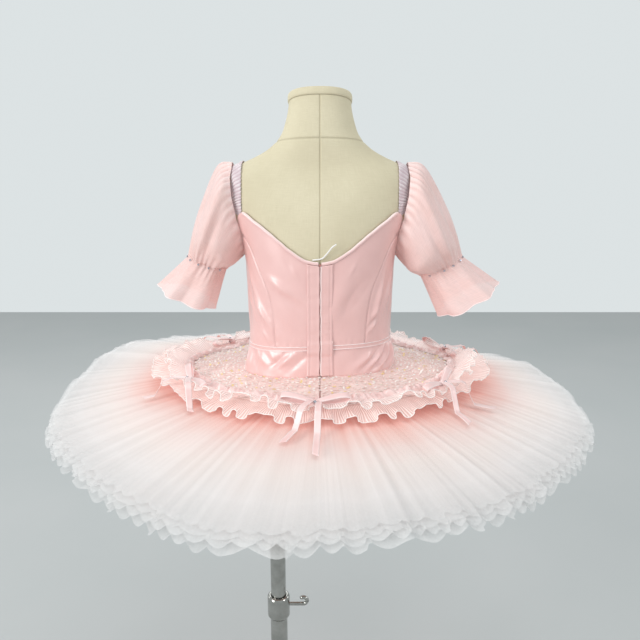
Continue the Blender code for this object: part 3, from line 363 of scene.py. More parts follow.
# the form's cross-sections from the hips up: half its width, its depth at the back and at the front, how far
# it moves in Y, and how steeply it tips
Section = namedtuple("Section", "z half_width back front lean slope", defaults=(0.0, 0.0))
FORM_SECTIONS = table(Section, [
    (0.6000, 0.0840, 0.0680, 0.0620), (0.6060, 0.0930, 0.0760, 0.0690), (0.6200, 0.0990, 0.0820, 0.0740),
    (0.6500, 0.1030, 0.0860, 0.0770), (0.6950, 0.1025, 0.0850, 0.0770), (0.7400, 0.0960, 0.0785, 0.0735),
    (0.7895, 0.0887, 0.0722, 0.0690), (0.8300, 0.0893, 0.0720, 0.0700), (0.8700, 0.0903, 0.0728, 0.0725),
    (0.9050, 0.0925, 0.0735, 0.0735), (0.9180, 0.0951, 0.0728, 0.0726), (0.9300, 0.0985, 0.0715, 0.0710),
    (0.9435, 0.1038, 0.0692, 0.0684), (0.9570, 0.1085, 0.0660, 0.0650), (0.9850, 0.1130, 0.0570, 0.0550),
    (1.0000, 0.1120, 0.0500, 0.0480), (1.0080, 0.1060, 0.0465, 0.0445),
    (1.0130, 0.0960, 0.0450, 0.0430, 0.000, 0.01), (1.0195, 0.0810, 0.0440, 0.0420, 0.000, 0.04),
    (1.0270, 0.0665, 0.0430, 0.0415, 0.000, 0.10), (1.0360, 0.0545, 0.0420, 0.0405, 0.000, 0.17),
    (1.0460, 0.0470, 0.0410, 0.0400, -0.001, 0.20), (1.0600, 0.0420, 0.0400, 0.0395, -0.002, 0.23),
    (1.0730, 0.0388, 0.0388, 0.0385, -0.003, 0.25), (1.0840, 0.0374, 0.0380, 0.0380, -0.004, 0.25),
])
FORM_FOOT_Z, NECK_TOP_Z, NECK_SEAM_Z = 0.6, 1.084, 1.0370
OVAL_POWER = 2.3


def smooth_curve(x, rows, column):
    """A column of a table at x: a cubic between rows, with slopes taken from the rows on each side."""
    at = np.array([row[0] for row in rows], float)
    value = np.array([getattr(row, column) for row in rows], float)
    slope = np.gradient(value, at)
    x = np.clip(np.asarray(x, float), at[0], at[-1])
    i = np.clip(np.searchsorted(at, x, side="right") - 1, 0, len(at) - 2)
    step = at[i + 1] - at[i]
    t = (x - at[i]) / step
    return (
        (1 + 2 * t) * (1 - t) ** 2 * value[i]
        + t * (1 - t) ** 2 * step * slope[i]
        + t * t * (3 - 2 * t) * value[i + 1]
        - t * t * (1 - t) * step * slope[i + 1]
    )


def spot(radius, turn, z):
    """Points at a radius and a turn from the centre back: x is radius times the turn's sine, y its cosine."""
    a = np.radians(turn)
    x, y, z = np.broadcast_arrays(radius * np.sin(a), radius * np.cos(a), z)
    return np.stack([x, y, z], axis=-1)


def form_radius(z, turn, out=0.0):
    """The dress form's reach at a height and a turn: a superellipse with half-axes grown by out."""
    a = np.radians(turn)
    wide = smooth_curve(z, FORM_SECTIONS, "half_width") + out
    back = smooth_curve(z, FORM_SECTIONS, "back") + out
    front = smooth_curve(z, FORM_SECTIONS, "front") + out
    deep = np.where(np.cos(a) > 0, back, front)
    sideways, front_to_back = np.abs(np.sin(a) / wide), np.abs(np.cos(a) / deep)
    return (sideways**OVAL_POWER + front_to_back**OVAL_POWER) ** (-1 / OVAL_POWER)


def on_form(z, turn, out):
    return spot(form_radius(z, turn, out), turn, z)


def ripples(u, v, seed, count, longest, shortest):
    """Smooth unevenness from about -1 to 1: plane waves over (u, v), whose lengths, headings and starts are
    drawn from seed."""
    chance = np.random.default_rng(seed)
    total = np.zeros(np.broadcast(u, v).shape)
    for _ in range(count):
        length = shortest * (longest / shortest) ** chance.random()
        heading, start = chance.random(2) * 2 * math.pi
        total += np.cos((u * math.cos(heading) + v * math.sin(heading)) * 2 * math.pi / length + start)
    return total / count**0.5 / 1.4


def finer_near(values, places, reach, steps):
    """A rising row of values with more of them round each place."""
    extra = np.asarray(places)[:, None] + reach * np.linspace(-1, 1, 2 * steps + 1)[None, :]
    return np.unique(np.round(np.concatenate([np.ravel(values), extra.ravel()]), 6))


def paint(piece, name, values):
    """Keeps one number per point on the piece, for its material to read by name."""
    layer = piece.data.attributes.new(name, "FLOAT", "POINT")
    layer.data.foreach_set("value", np.asarray(values, np.float32).ravel())


def declare_cloth(piece, width, length, held, rests_on, with_pieces=()):
    """Works out the sheet's area from its faces, kept between 0.3 of a strip of this width and length and the
    whole strip.
    """
    area = sum(face.area for face in piece.data.polygons)
    area = min(max(area, 0.3 * width * length), width * length)


def new_group(name, inputs, outputs):
    """An empty shader node group with float or vector sockets; gives the tree, its entry and its exit."""
    group = bpy.data.node_groups.new(name, "ShaderNodeTree")
    for direction, sockets in (("INPUT", inputs), ("OUTPUT", outputs)):
        for label, kind in sockets:
            group.interface.new_socket(name=label, in_out=direction, socket_type=kind)
    return group, group.nodes.new("NodeGroupInput"), group.nodes.new("NodeGroupOutput")


def maths(tree, kind, first, second):
    """A Math node over two inputs; each is a socket or a number."""
    made = tree.nodes.new("ShaderNodeMath")
    made.operation = kind
    for slot_number, value in ((0, first), (1, second)):
        if isinstance(value, (int, float)):
            made.inputs[slot_number].default_value = value
        else:
            tree.links.new(value, made.inputs[slot_number])
    return made.outputs[0]


# cloth grain: threads along and across the cut, now thicker, now thinner; Height is for bump, Tone for colour
grain, grain_in, grain_out = new_group(
    "cloth_grain",
    [("Cut", "NodeSocketVector"), ("Threads", "NodeSocketFloat"), ("Slub", "NodeSocketFloat")],
    [("Height", "NodeSocketFloat"), ("Tone", "NodeSocketFloat")],
)
grain_axes = grain.nodes.new("ShaderNodeSeparateXYZ")
grain.links.new(grain_in.outputs["Cut"], grain_axes.inputs[0])
grain_waves = []
for axis in (0, 1):
    turns = maths(grain, "MULTIPLY", grain_axes.outputs[axis], grain_in.outputs["Threads"])
    grain_waves.append(maths(grain, "SINE", maths(grain, "MULTIPLY", turns, 2 * math.pi), 0.0))
grain_cross = maths(grain, "MULTIPLY", grain_waves[0], grain_waves[1])
grain_slubs = []
for scale in ((900.0, 70.0, 1.0), (70.0, 900.0, 1.0)):
    stretch = node(grain, "ShaderNodeMapping", {"Scale": scale})
    grain.links.new(grain_in.outputs["Cut"], stretch.inputs["Vector"])
    slub = node(grain, "ShaderNodeTexNoise", {"Scale": 1.0, "Detail": 3.0, "Roughness": 0.6})
    grain.links.new(stretch.outputs["Vector"], slub.inputs["Vector"])
    grain_slubs.append(maths(grain, "SUBTRACT", slub.outputs["Fac"], 0.5))
grain_slub = maths(grain, "MULTIPLY", maths(grain, "ADD", *grain_slubs), grain_in.outputs["Slub"])
for label, cross_share in (("Height", grain_cross), ("Tone", maths(grain, "MULTIPLY", grain_cross, 0.25))):
    grain.links.new(maths(grain, "ADD", cross_share, grain_slub), grain_out.inputs[label])


def place_grain(tree, threads, slub):
    """The cloth grain group on the piece's own cut: its outputs, then the cut itself."""
    cut_map = node(tree, "ShaderNodeUVMap", uv_map="cut")
    placed = node(tree, "ShaderNodeGroup", node_tree=grain)
    placed.inputs["Threads"].default_value = threads
    placed.inputs["Slub"].default_value = slub
    tree.links.new(cut_map.outputs["UV"], placed.inputs["Cut"])
    return placed.outputs, cut_map.outputs["UV"]


def point_number(tree, name):
    """The number that paint keeps on each point under this name."""
    return node(tree, "ShaderNodeAttribute", attribute_name=name).outputs["Fac"]


def mixed(tree, share, first, second):
    """A colour between two, by share; each is a socket or a colour."""
    made = node(tree, "ShaderNodeMix", data_type="RGBA")
    tree.links.new(share, made.inputs[0])
    for slot_number, value in ((6, first), (7, second)):
        if isinstance(value, tuple):
            made.inputs[slot_number].default_value = (*value, 1.0)
        else:
            tree.links.new(value, made.inputs[slot_number])
    return made.outputs[2]


LINEN_FINISH = {"Roughness": 0.92, "Specular IOR Level": 0.25}
LINEN_TINTS = [(0.3, (0.70, 0.635, 0.465)), (0.7, (0.79, 0.725, 0.545))]
linen_material, tree = make_material("cream_linen", LINEN_FINISH)
linen_grain = place_grain(tree, 1150.0, 1.6)[0]
linen_base = ramp(tree, object_noise(tree, 16.0, 4.0), LINEN_TINTS)
linen_share = map_range(tree, linen_grain["Tone"], -0.7, 0.7, 0.0, 0.55)
linen_toned = mixed(tree, linen_share, linen_base, (0.60, 0.53, 0.36))
# the seam number darkens the linen toward dark brown: painted shade in the seams' grooves
linen_seam_shade = maths(tree, "MULTIPLY", point_number(tree, "seam"), 0.30)
linen_colour = mixed(tree, linen_seam_shade, linen_toned, (0.20, 0.165, 0.10))
feed(tree, "Base Color", linen_colour)
add_bump(tree, linen_grain["Height"], 0.35, 0.0003)


def bell(distance, width):
    """1 at distance 0, falling away to 0 as a bell curve of this width."""
    return np.exp(-((distance / width) ** 2))


def cut_of(u, v):
    """The pattern's (u, v) at each point, from a u and a v that may each be a single row."""
    return np.stack(np.broadcast_arrays(u, v), axis=-1)


def ring_solid(name, rings, material, cut=None):
    """A closed solid through rings of points, with a flat face on its first and its last ring."""
    made = grid_object(name, np.swapaxes(rings, 0, 1), material, around=True, cut=cut)
    work = bmesh.new()
    work.from_mesh(made.data)
    bmesh.ops.holes_fill(work, edges=[e for e in work.edges if e.is_boundary], sides=0)
    bmesh.ops.recalc_face_normals(work, faces=work.faces)
    work.to_mesh(made.data)
    work.free()
    made.data.shade_smooth()
    made.data.set_sharp_from_angle(angle=math.radians(50))
    return made


def form_ring(z, turn, out=0.0):
    """A ring of the form, tipped by its slope: z grows by slope times y."""
    ring = on_form(z, turn, out)
    ring[..., 1] += smooth_curve(z, FORM_SECTIONS, "lean")
    ring[..., 2] += smooth_curve(z, FORM_SECTIONS, "slope") * ring[..., 1]
    return ring


seam_turns = [0.0, 90.0, 180.0, 270.0, 360.0]
form_turns = finer_near(np.arange(0.0, 360.0, 4.0), seam_turns, 1.8, 4)
form_turns = form_turns[(form_turns >= 0.0) & (form_turns < 360.0)]
form_heights = np.linspace(FORM_FOOT_Z, NECK_TOP_Z, 90)
form_heights = finer_near(form_heights, [section.z for section in FORM_SECTIONS], 0.0, 0)
form_heights = finer_near(form_heights, [NECK_SEAM_Z], 0.0026, 4)
form_heights = form_heights[(form_heights >= FORM_FOOT_Z) & (form_heights <= NECK_TOP_Z)]
high, round_it = form_heights[:, None], form_turns[None, :]
from_seam = np.min([np.abs(round_it - place) for place in seam_turns], axis=0)
seam_distance = np.radians(from_seam) * form_radius(high, round_it)
neck_distance = np.abs(high - NECK_SEAM_Z)
groove = np.clip(bell(seam_distance, 0.0007) + bell(neck_distance, 0.0009), 0, 1) + 0 * high
swell = 0.5 * bell(seam_distance - 0.0025, 0.0016) + 0.5 * bell(neck_distance - 0.003, 0.0018)
away = unit(on_form(high, round_it, 0.001) - on_form(high, round_it, 0.0))
torso_rings = form_ring(high, round_it) + away * (0.0002 * swell - 0.0008 * groove)[..., None]
torso_cut = cut_of(np.radians(round_it) * 0.085, high)
torso = ring_solid("linen_torso", torso_rings, linen_material, cut=np.swapaxes(torso_cut, 0, 1))
# the grooves' depth also darkens the linen there: painted shade
paint(torso, "seam", np.swapaxes(groove, 0, 1))
dress(torso, "linen_cover", "form_torso")

# the cap from the neck's edge in to its middle: the ring's size beside the neck's top, and its height over it
CAP_SHAPE = [
    (1.000, 0.0003), (1.014, 0.0005), (1.028, 0.0010), (1.037, 0.0020), (1.041, 0.0040),
    (1.040, 0.0065), (1.030, 0.0084), (1.005, 0.0096), (0.96, 0.0101), (0.93, 0.0100),
    (0.90, 0.0102), (0.80, 0.0106), (0.55, 0.0110), (0.30, 0.0112), (0.08, 0.0112),
]
# how far the cap's seams are darkened, ring by ring from its edge in: painted shade in their grooves
CAP_SEAM_SHADE = [0.5, 0.2, 0, 0, 0, 0, 0, 0, 0.25, 0.45, 0.25, 0, 0, 0, 0]
NECK_TILT = 0.25
cap_turns = np.arange(0.0, 360.0, 4.0)
neck_top = form_ring(NECK_TOP_Z, cap_turns)
neck_middle = neck_top.mean(axis=0)
neck_reach = neck_top - neck_middle
neck_axis = np.array([0.0, -NECK_TILT, 1.0]) / math.hypot(1.0, NECK_TILT)
cap_rings = np.array([neck_middle + neck_reach * grow + neck_axis * rise for grow, rise in CAP_SHAPE])
cap_cut = cut_of(np.radians(cap_turns)[:, None] * 0.038, np.arange(len(CAP_SHAPE))[None, :] * 0.002)
neck_cap = ring_solid("neck_cap", cap_rings, linen_material, cut=cap_cut)
paint(neck_cap, "seam", np.tile(CAP_SEAM_SHADE, (len(cap_turns), 1)))
dress(neck_cap, "linen_cover", "form_neck_cap")

# ----------------------------------------------------------------------------
# Briefs: pink satin panties that carry the net, high at the legs, with a gusset strip under the form, and
# narrow turned edges

FORM_CLEARANCE, SATIN, SEAM_GAP = 0.0016, 0.0015, 0.0004
BRIEFS_CLEARANCE, SATIN_THICKNESS = 0.0010, 0.0007
BRIEFS_OUT = BRIEFS_CLEARANCE + SATIN - 0.0003
BRIEFS_LEG_Z, BRIEFS_FOOT_Z = 0.692, 0.618
WAIST, WAIST_DIP_FRONT, WAIST_DIP_SIDE = 0.7895, 0.0090, 0.0040
BASQUE_HEIGHT, BASQUE_FLARE = 0.0345, 0.0030
SATIN_GLOSS = {
    "Sheen Weight": 0.25, "Sheen Roughness": 0.4, "Specular IOR Level": 1.0, "Coat Weight": 0.6,
    "Coat Roughness": 0.42,
}
STITCH_PITCH = 0.0024


def waist_z(turn):
    a = np.radians(turn)
    return WAIST + WAIST_DIP_FRONT * np.cos(a) - WAIST_DIP_SIDE * np.sin(a)


def basque_edge_z(turn):
    return waist_z(turn) - BASQUE_HEIGHT


def cut_turns(tree, cut, axis, pitch):
    """Radians along one axis of the cut, with a whole turn every pitch metres."""
    axes = tree.nodes.new("ShaderNodeSeparateXYZ")
    tree.links.new(cut, axes.inputs[0])
    return maths(tree, "MULTIPLY", axes.outputs[axis], 2 * math.pi / pitch)


def make_satin(name, light, shade, edge):
    """Pink satin: a smooth floated face, whose tone wanders a little, with thread grain. Where the piece's
    edge number is 1 it turns to the edge colour, a painted highlight on turned edges, cords and crests; where
    its stitch number is near 1 it is darkened as painted shade along a seam or stitched row, with pale thread
    dashes."""
    material, tree = make_material(name, SATIN_GLOSS)
    woven, cut = place_grain(tree, 1900.0, 1.0)
    cloud = object_noise(tree, 38.0, 3.0, Roughness=0.55)
    base = ramp(tree, cloud, [(0.30, shade), (0.70, light)])
    # the edge number turns the colour toward the edge colour: a painted highlight
    highlighted = mixed(tree, point_number(tree, "edge"), base, edge)
    stitch = point_number(tree, "stitch")
    dash = map_range(tree, maths(tree, "SINE", cut_turns(tree, cut, 1, STITCH_PITCH), 0.0), -0.5, 0.1)
    sewn = maths(tree, "MULTIPLY", dash, stitch)
    # stitch rows are darkened toward this: painted shade in the seams and stitched grooves; the dashes
    # between are pale thread
    painted_seam_shade = tuple(0.72 * value for value in shade)
    coloured = mixed(tree, maths(tree, "MULTIPLY", stitch, 0.55), highlighted, painted_seam_shade)
    threaded = mixed(tree, maths(tree, "MULTIPLY", sewn, 0.6), coloured, light)
    feed(tree, "Base Color", threaded)
    feed(tree, "Roughness", map_range(tree, cloud, 0.3, 0.7, 0.31, 0.34))
    height = maths(tree, "ADD", maths(tree, "MULTIPLY", woven["Height"], 0.06), sewn)
    add_bump(tree, height, 0.15, 0.00025)
    return material


# the third colour of each satin is the painted highlight that its edge number calls for
satin_material = make_satin("pink_satin_cloth", (0.85, 0.54, 0.515), (0.82, 0.505, 0.48), (0.99, 0.90, 0.89))

brief_turns = np.arange(0.0, 360.0, 2.5)[:, None]
share = np.linspace(0, 1, 17)[None, :]
brief_top = basque_edge_z(brief_turns) - 0.0055
brief_low = BRIEFS_LEG_Z - (BRIEFS_LEG_Z - BRIEFS_FOOT_Z) * np.abs(np.cos(np.radians(brief_turns))) ** 3
brief_z = brief_low + share * (brief_top - brief_low)
brief_out = BRIEFS_OUT + 0.0003 * ripples(np.radians(brief_turns) * 0.1, brief_z, 5, 9, 0.05, 0.012)
brief_points = on_form(brief_z, brief_turns, brief_out)
brief_cut = cut_of(np.radians(brief_turns) * 0.092, brief_z)
briefs = grid_object(
    "satin_briefs", brief_points, satin_material, around=True, cut=brief_cut, thickness=SATIN_THICKNESS
)
# the leg edge is painted toward the satin's edge colour: a painted highlight on the turned edge
paint(briefs, "edge", np.tile(bell(share, 0.03), (len(brief_turns), 1)) * 0.6)
dress(briefs, "pink_satin", "briefs")
declare_cloth(briefs, 0.58, 0.13, "stretched", ["linen_torso"])


def form_depth(x, z, front, out):
    """The form's y at a height, away from its centre plane, on its front or its back face."""
    wide = smooth_curve(z, FORM_SECTIONS, "half_width") + out
    deep = smooth_curve(z, FORM_SECTIONS, "front" if front else "back") + out
    return (-1.0 if front else 1.0) * deep * (1 - np.abs(x / wide) ** OVAL_POWER) ** (1 / OVAL_POWER)


gusset_x = np.linspace(-0.026, 0.026, 15)
gusset_heights = (0.6176, 0.612, 0.6060, 0.602, 0.600)
gusset_lines = []
for front, heights in ((False, gusset_heights), (True, gusset_heights[::-1])):
    for z in heights:
        y = form_depth(gusset_x, z, front, BRIEFS_OUT)
        dropped = z - BRIEFS_OUT * (BRIEFS_FOOT_Z - z) / (BRIEFS_FOOT_Z - FORM_FOOT_Z)
        gusset_lines.append(np.stack([gusset_x, y, np.full_like(y, dropped)], axis=-1))
across = np.linspace(0, 1, 9)[1:-1, None, None]
bottom = gusset_lines[4][None] * (1 - across) + gusset_lines[5][None] * across
gusset_points = np.concatenate([np.array(gusset_lines[:5]), bottom, np.array(gusset_lines[5:])])
gusset_cut = cut_of(gusset_x[None, :], np.arange(len(gusset_points))[:, None] * 0.011)
gusset = grid_object(
    "satin_gusset", gusset_points, satin_material, facing=(0.0, 0.0, 0.7), cut=gusset_cut,
    thickness=SATIN_THICKNESS,
)
dress(gusset, "pink_satin", "briefs_gusset")
declare_cloth(gusset, 0.052, 0.165, "stretched", ["linen_torso"])

# ----------------------------------------------------------------------------
# Bodice: seven glossy satin panels, boned and sewn at curved princess seams, the side seams and a zipped
# back, and pulled close over the form, so that the cloth puckers along its seams

TopEdge = namedtuple("TopEdge", "turn z")
BODICE_TOP = table(TopEdge, [
    (0.0, 0.9030), (12.0, 0.9060), (25.0, 0.9165), (40.0, 0.9330), (55.0, 0.9490), (66.0, 0.9575),
    (70.0, 0.9530), (79.0, 0.9200), (90.0, 0.9050), (101.0, 0.9200), (110.0, 0.9530), (114.0, 0.9575),
    (128.0, 0.9490), (147.0, 0.9380), (165.0, 0.9320), (180.0, 0.9300),
])
CORNER_TURN = 66.0
SeamPoint = namedtuple("SeamPoint", "height turn")
PRINCESS_SEAM = table(SeamPoint, [
    (0.00, 41.0), (0.30, 43.0), (0.50, 47.5), (0.65, 56.5), (0.85, 70.0), (1.00, 78.0),
])
BODY_RADIUS, BACK_RADIUS = 0.080, 0.0765
# pulls in the satin: a place (turn, z), the way the fold runs in degrees from level, its half-length and
# half-width, and how far it stands out
Fold = namedtuple("Fold", "turn z lean long wide rise")
BODICE_FOLDS = table(Fold, [
    (60.0, 0.862, 62.0, 0.026, 0.0024, 0.0011), (54.5, 0.840, 56.0, 0.019, 0.0032, 0.0019),
    (61.0, 0.832, 58.0, 0.020, 0.0028, -0.0013), (66.0, 0.842, 62.0, 0.024, 0.0030, 0.0013),
    (52.0, 0.812, 60.0, 0.010, 0.0026, 0.0012), (76.0, 0.850, 78.0, 0.030, 0.0036, -0.0010),
    (34.5, 0.8720, 34.0, 0.018, 0.0050, 0.0013), (26.0, 0.8560, 36.0, 0.018, 0.0070, -0.0006),
    (14.0, 0.8600, 52.0, 0.026, 0.0090, 0.0006), (36.0, 0.8260, 64.0, 0.020, 0.0070, -0.0005),
    (22.0, 0.8930, 62.0, 0.007, 0.0022, 0.0004), (27.0, 0.9000, 58.0, 0.008, 0.0024, -0.0004),
    (-28.0, 0.8950, 118.0, 0.008, 0.0024, 0.0004), (-16.0, 0.8560, 112.0, 0.034, 0.0110, 0.0009),
    (-32.0, 0.8620, 128.0, 0.030, 0.0080, -0.0008), (-53.0, 0.8560, 106.0, 0.022, 0.0026, 0.0018),
    (-58.0, 0.8440, 110.0, 0.026, 0.0026, -0.0014), (-63.0, 0.8540, 112.0, 0.028, 0.0028, 0.0019),
    (-50.5, 0.8400, 130.0, 0.010, 0.0020, 0.0012), (-50.0, 0.8310, 134.0, 0.009, 0.0020, -0.0012),
    (-48.5, 0.8220, 136.0, 0.009, 0.0020, 0.0012), (-74.0, 0.8640, 106.0, 0.030, 0.0036, -0.0012),
    (112.0, 0.8640, 74.0, 0.030, 0.0050, 0.0008), (124.0, 0.8500, 68.0, 0.026, 0.0060, -0.0007),
    (-112.0, 0.8640, 106.0, 0.030, 0.0050, 0.0008), (-124.0, 0.8500, 112.0, 0.026, 0.0060, -0.0007),
])


def folds(rows, turn, z, radius):
    """The folds of these rows at (turn, z): ridges whose sides and ends fall off as bell curves."""
    total = np.zeros(np.broadcast(turn, z).shape)
    for fold in rows:
        beside, above = np.radians(turn - fold.turn) * radius, z - fold.z
        lean = math.radians(fold.lean)
        along = beside * math.cos(lean) + above * math.sin(lean)
        across = above * math.cos(lean) - beside * math.sin(lean)
        total += fold.rise * np.exp(-((across / fold.wide) ** 2) - (along / fold.long) ** 2)
    return total


def from_back(turn):
    """A turn folded to 0 to 180 degrees, for tables that are the same on both sides."""
    return 180.0 - np.abs(np.mod(turn, 360.0) - 180.0)


def bodice_top(turn):
    return smooth_curve(from_back(turn), BODICE_TOP, "z")


def princess_turn(height):
    return smooth_curve(height, PRINCESS_SEAM, "turn")


def front_seam(height):
    return 180.0 - princess_turn(height)


def far_front_seam(height):
    return 180.0 + princess_turn(height)


def seam_at(turn):
    return lambda height: turn + 0.0 * height


def crowded_ends(count):
    """Shares from 0 to 1 that lie closer together towards both ends."""
    plain = np.linspace(0, 1, count)
    return 0.25 * plain + 0.75 * (0.5 - 0.5 * np.cos(np.pi * plain))


def bodice_panel(name, first, last, sign, columns, solid, seed, zip_side=False):
    """One panel between two seams, given as turns over height. Its face lies 3.1 mm out from the form, less
    where it rolls into its seams, with folds, fine puckers along the seams and a faint unevenness."""
    height, across = crowded_ends(60)[None, :], crowded_ends(columns)[:, None]
    turn = sign * ((1 - across) * first(height) + across * last(height))
    low, top = waist_z(turn) + 0.0023, bodice_top(turn)
    z = low + height * (top - low)
    to_first = np.radians(np.abs(turn - sign * first(height))) * BODY_RADIUS + (1.0 if zip_side else 0.0)
    to_last = np.radians(np.abs(turn - sign * last(height))) * BODY_RADIUS
    near = np.minimum(to_first, to_last)
    u = np.radians(turn) * BODY_RADIUS
    out = FORM_CLEARANCE + SATIN - 0.0002 - 0.0013 * bell(near, 0.0012)
    out = out + 0.00030 * ripples(u * 0.25, z, seed, 10, 0.011, 0.005) * bell(near, 0.0050)
    out = out + 0.00035 * ripples(u, z * 0.3, seed + 50, 8, 0.010, 0.005) * bell(z - low, 0.006)
    out = out + 0.00015 * ripples(u, z, seed + 90, 10, 0.060, 0.020)
    fade = 1 - bell(near, 0.0030) * bell(top - z, 0.004)
    out = out + 2.0 * folds(BODICE_FOLDS, turn, z, BODY_RADIUS) * fade
    out = np.maximum(out, FORM_CLEARANCE - 0.0002 + SATIN_THICKNESS)
    points = on_form(z, turn, out)
    made = grid_object(name, points, satin_material, cut=np.stack([u, z], axis=-1), thickness=SATIN_THICKNESS)
    # the stitch number darkens the satin as painted shade in the seam at the panel's edge, and along a
    # stitched row 2.2 mm in, which also carries the pale thread dashes
    paint(made, "stitch", 0.35 * bell(near - 0.0022, 0.00035) + 0.8 * bell(near, 0.0006))
    dress(made, "pink_satin", solid)
    return made


ZIP_HALF_WIDTH, NECK_RADIUS = 0.0016, 0.0745
zip_turn = math.degrees((ZIP_HALF_WIDTH + SEAM_GAP) / NECK_RADIUS)
BODICE_PANELS = [
    ("back", seam_at(zip_turn), princess_turn, 64, (0.075, 0.165)),
    ("side_back", princess_turn, seam_at(90.0), 44, (0.062, 0.165)),
    ("side_front", seam_at(90.0), front_seam, 44, (0.062, 0.165)),
]
for number, (label, first, last, columns, flat) in enumerate(BODICE_PANELS):
    for side, sign in (("right", 1.0), ("left", -1.0)):
        name, solid, seed = f"satin_{label}_{side}", f"bodice_{label}_{side}", 11 * number + int(3 + sign)
        panel = bodice_panel(name, first, last, sign, columns, solid, seed, zip_side=label == "back")
        declare_cloth(panel, *flat, "stretched", ["linen_torso"])
front_panel = bodice_panel("satin_front", front_seam, far_front_seam, 1.0, 120, "bodice_front", 77)
declare_cloth(front_panel, 0.215, 0.160, "stretched", ["linen_torso"])

# ----------------------------------------------------------------------------
# Closure: a coil zip down the centre back, half hidden between two topstitched satin plackets, with the
# turned edge of the right-hand facing painted paler as a bright line: a painted highlight

PLACKET_WIDTH, BINDING_HEIGHT, ZIP_OUT = 0.0140, 0.0030, 0.0011


def placket_rise(z, turn):
    """How much further out the closure lies where it crosses the waist binding and the basque's flare."""
    below = waist_z(turn) - z
    over_binding = np.exp(-((below / 0.0080) ** 4)) * 0.0016
    return over_binding + BASQUE_FLARE * np.clip(below / BASQUE_HEIGHT, 0, 1)


for side, sign in (("right", 1.0), ("left", -1.0)):
    across = crowded_ends(20)[:, None]
    turn = sign * np.degrees((ZIP_HALF_WIDTH - 0.0010 + across * (PLACKET_WIDTH + 0.0008)) / BACK_RADIUS)
    low = waist_z(turn) - BASQUE_HEIGHT + 0.0012
    high = bodice_top(turn) - BINDING_HEIGHT - SEAM_GAP
    z = low + np.linspace(0, 1, 120)[None, :] * (high - low)
    u = across * PLACKET_WIDTH
    out = FORM_CLEARANCE + SATIN + SEAM_GAP + 0.0010 + placket_rise(z, turn)
    out = out - 0.0007 * bell(np.minimum(u, PLACKET_WIDTH - u), 0.0007)
    out = out + 0.00022 * ripples(u * 0.3, z, 20 + int(sign), 8, 0.016, 0.006)
    out = out + 0.0007 * bell(u, 0.0016) - 0.0005 * bell(u - 0.0105, 0.0006)
    gape = 0.00035 * ripples(0 * z, z, 25 + int(sign), 8, 0.03, 0.006) * bell(u, 0.003)
    points = on_form(z, turn + np.degrees(gape / BACK_RADIUS), out)
    placket = grid_object(
        f"satin_placket_{side}", points, satin_material, cut=cut_of(u, z), thickness=SATIN_THICKNESS
    )
    # the stitch number darkens two stitched rows as painted shade in their grooves, with pale thread dashes;
    # the edge number paints the edge by the zip paler, a painted highlight, full on the left placket and
    # faint on the right
    paint(placket, "stitch", bell(u - 0.0105, 0.0004) * 0.5 + bell(u - 0.0128, 0.0004) * 0.3 + 0 * z)
    paint(placket, "edge", (0.2 if sign > 0 else 1.0) * bell(u, 0.0008) + 0 * z)
    dress(placket, "pink_satin", f"placket_{side}")
    declare_cloth(placket, 0.0145, 0.148, "stretched", ["satin_back_right", "satin_back_left"])

tape_material, tree = make_material("zip_tape_twill", {"Roughness": 0.8})
tape_share = map_range(tree, place_grain(tree, 1400.0, 1.0)[0]["Tone"], -0.6, 0.6)
tape_colour = mixed(tree, tape_share, (0.84, 0.42, 0.39), (0.72, 0.32, 0.30))
feed(tree, "Base Color", tape_colour)
turn = np.degrees(np.linspace(-1, 1, 9)[:, None] * (ZIP_HALF_WIDTH - SEAM_GAP) / BACK_RADIUS)
low = waist_z(turn) - BASQUE_HEIGHT + 0.0012
z = low + np.linspace(0, 1, 90)[None, :] * (bodice_top(turn) - 0.0012 - low)
points = on_form(z, turn, FORM_CLEARANCE + ZIP_OUT + placket_rise(z, turn))
tape_cut = cut_of(np.radians(turn) * BACK_RADIUS, z)
tape = grid_object("zip_tape", points, tape_material, cut=tape_cut, thickness=0.0006)
dress(tape, "pink_satin", "zip")

teeth_material, tree = make_material("zip_coil_nylon", {"Roughness": 0.45})
TEETH_TINTS = [(0.35, (0.44, 0.17, 0.15)), (0.65, (0.66, 0.34, 0.31))]
teeth_tint = ramp(tree, object_noise(tree, 400.0, 2.0), TEETH_TINTS)
feed(tree, "Base Color", teeth_tint)


def repeated_faces(faces, corners, count):
    """The faces of count copies of a shape that has this many corners."""
    return [[corner + corners * copy for corner in face] for copy in range(count) for face in faces]


TOOTH_PITCH = 0.0011
BOX_FACES = [[0, 1, 3, 2], [4, 6, 7, 5], [0, 4, 5, 1], [2, 3, 7, 6], [0, 2, 6, 4], [1, 5, 7, 3]]
tooth_z = np.arange(0.7668, 0.9010, TOOTH_PITCH)
corner = np.array([[a, b, c] for a in (-1, 1) for b in (0, 1) for c in (-1, 1)], float)
tooth_side = np.where(np.arange(len(tooth_z)) % 2 == 0, 1.0, -1.0)[:, None, None]
tooth_base = on_form(tooth_z, 0.0 * tooth_z, FORM_CLEARANCE + ZIP_OUT + placket_rise(tooth_z, 0.0))
TOOTH_HALF, TOOTH_OFFSET = [0.00055, 0.0011, 0.00038], [0.0003, 0, 0]
tooth_points = tooth_base[:, None] + corner[None] * TOOTH_HALF + tooth_side * TOOTH_OFFSET
zip_teeth = mesh_object("zip_teeth", tooth_points, repeated_faces(BOX_FACES, 8, len(tooth_z)), teeth_material)
zip_teeth.data.shade_flat()
dress(zip_teeth, "pink_satin")
declare_cloth(tape, 0.0100, 0.138, "stretched", ["linen_torso"], [zip_teeth])

# ----------------------------------------------------------------------------
# Bindings: a narrow bias strip of paler satin rolled over the neckline, and a flat band with a cord in each
# edge over the waist seam; a loose end of white elastic springs out of the neckline beside the zip

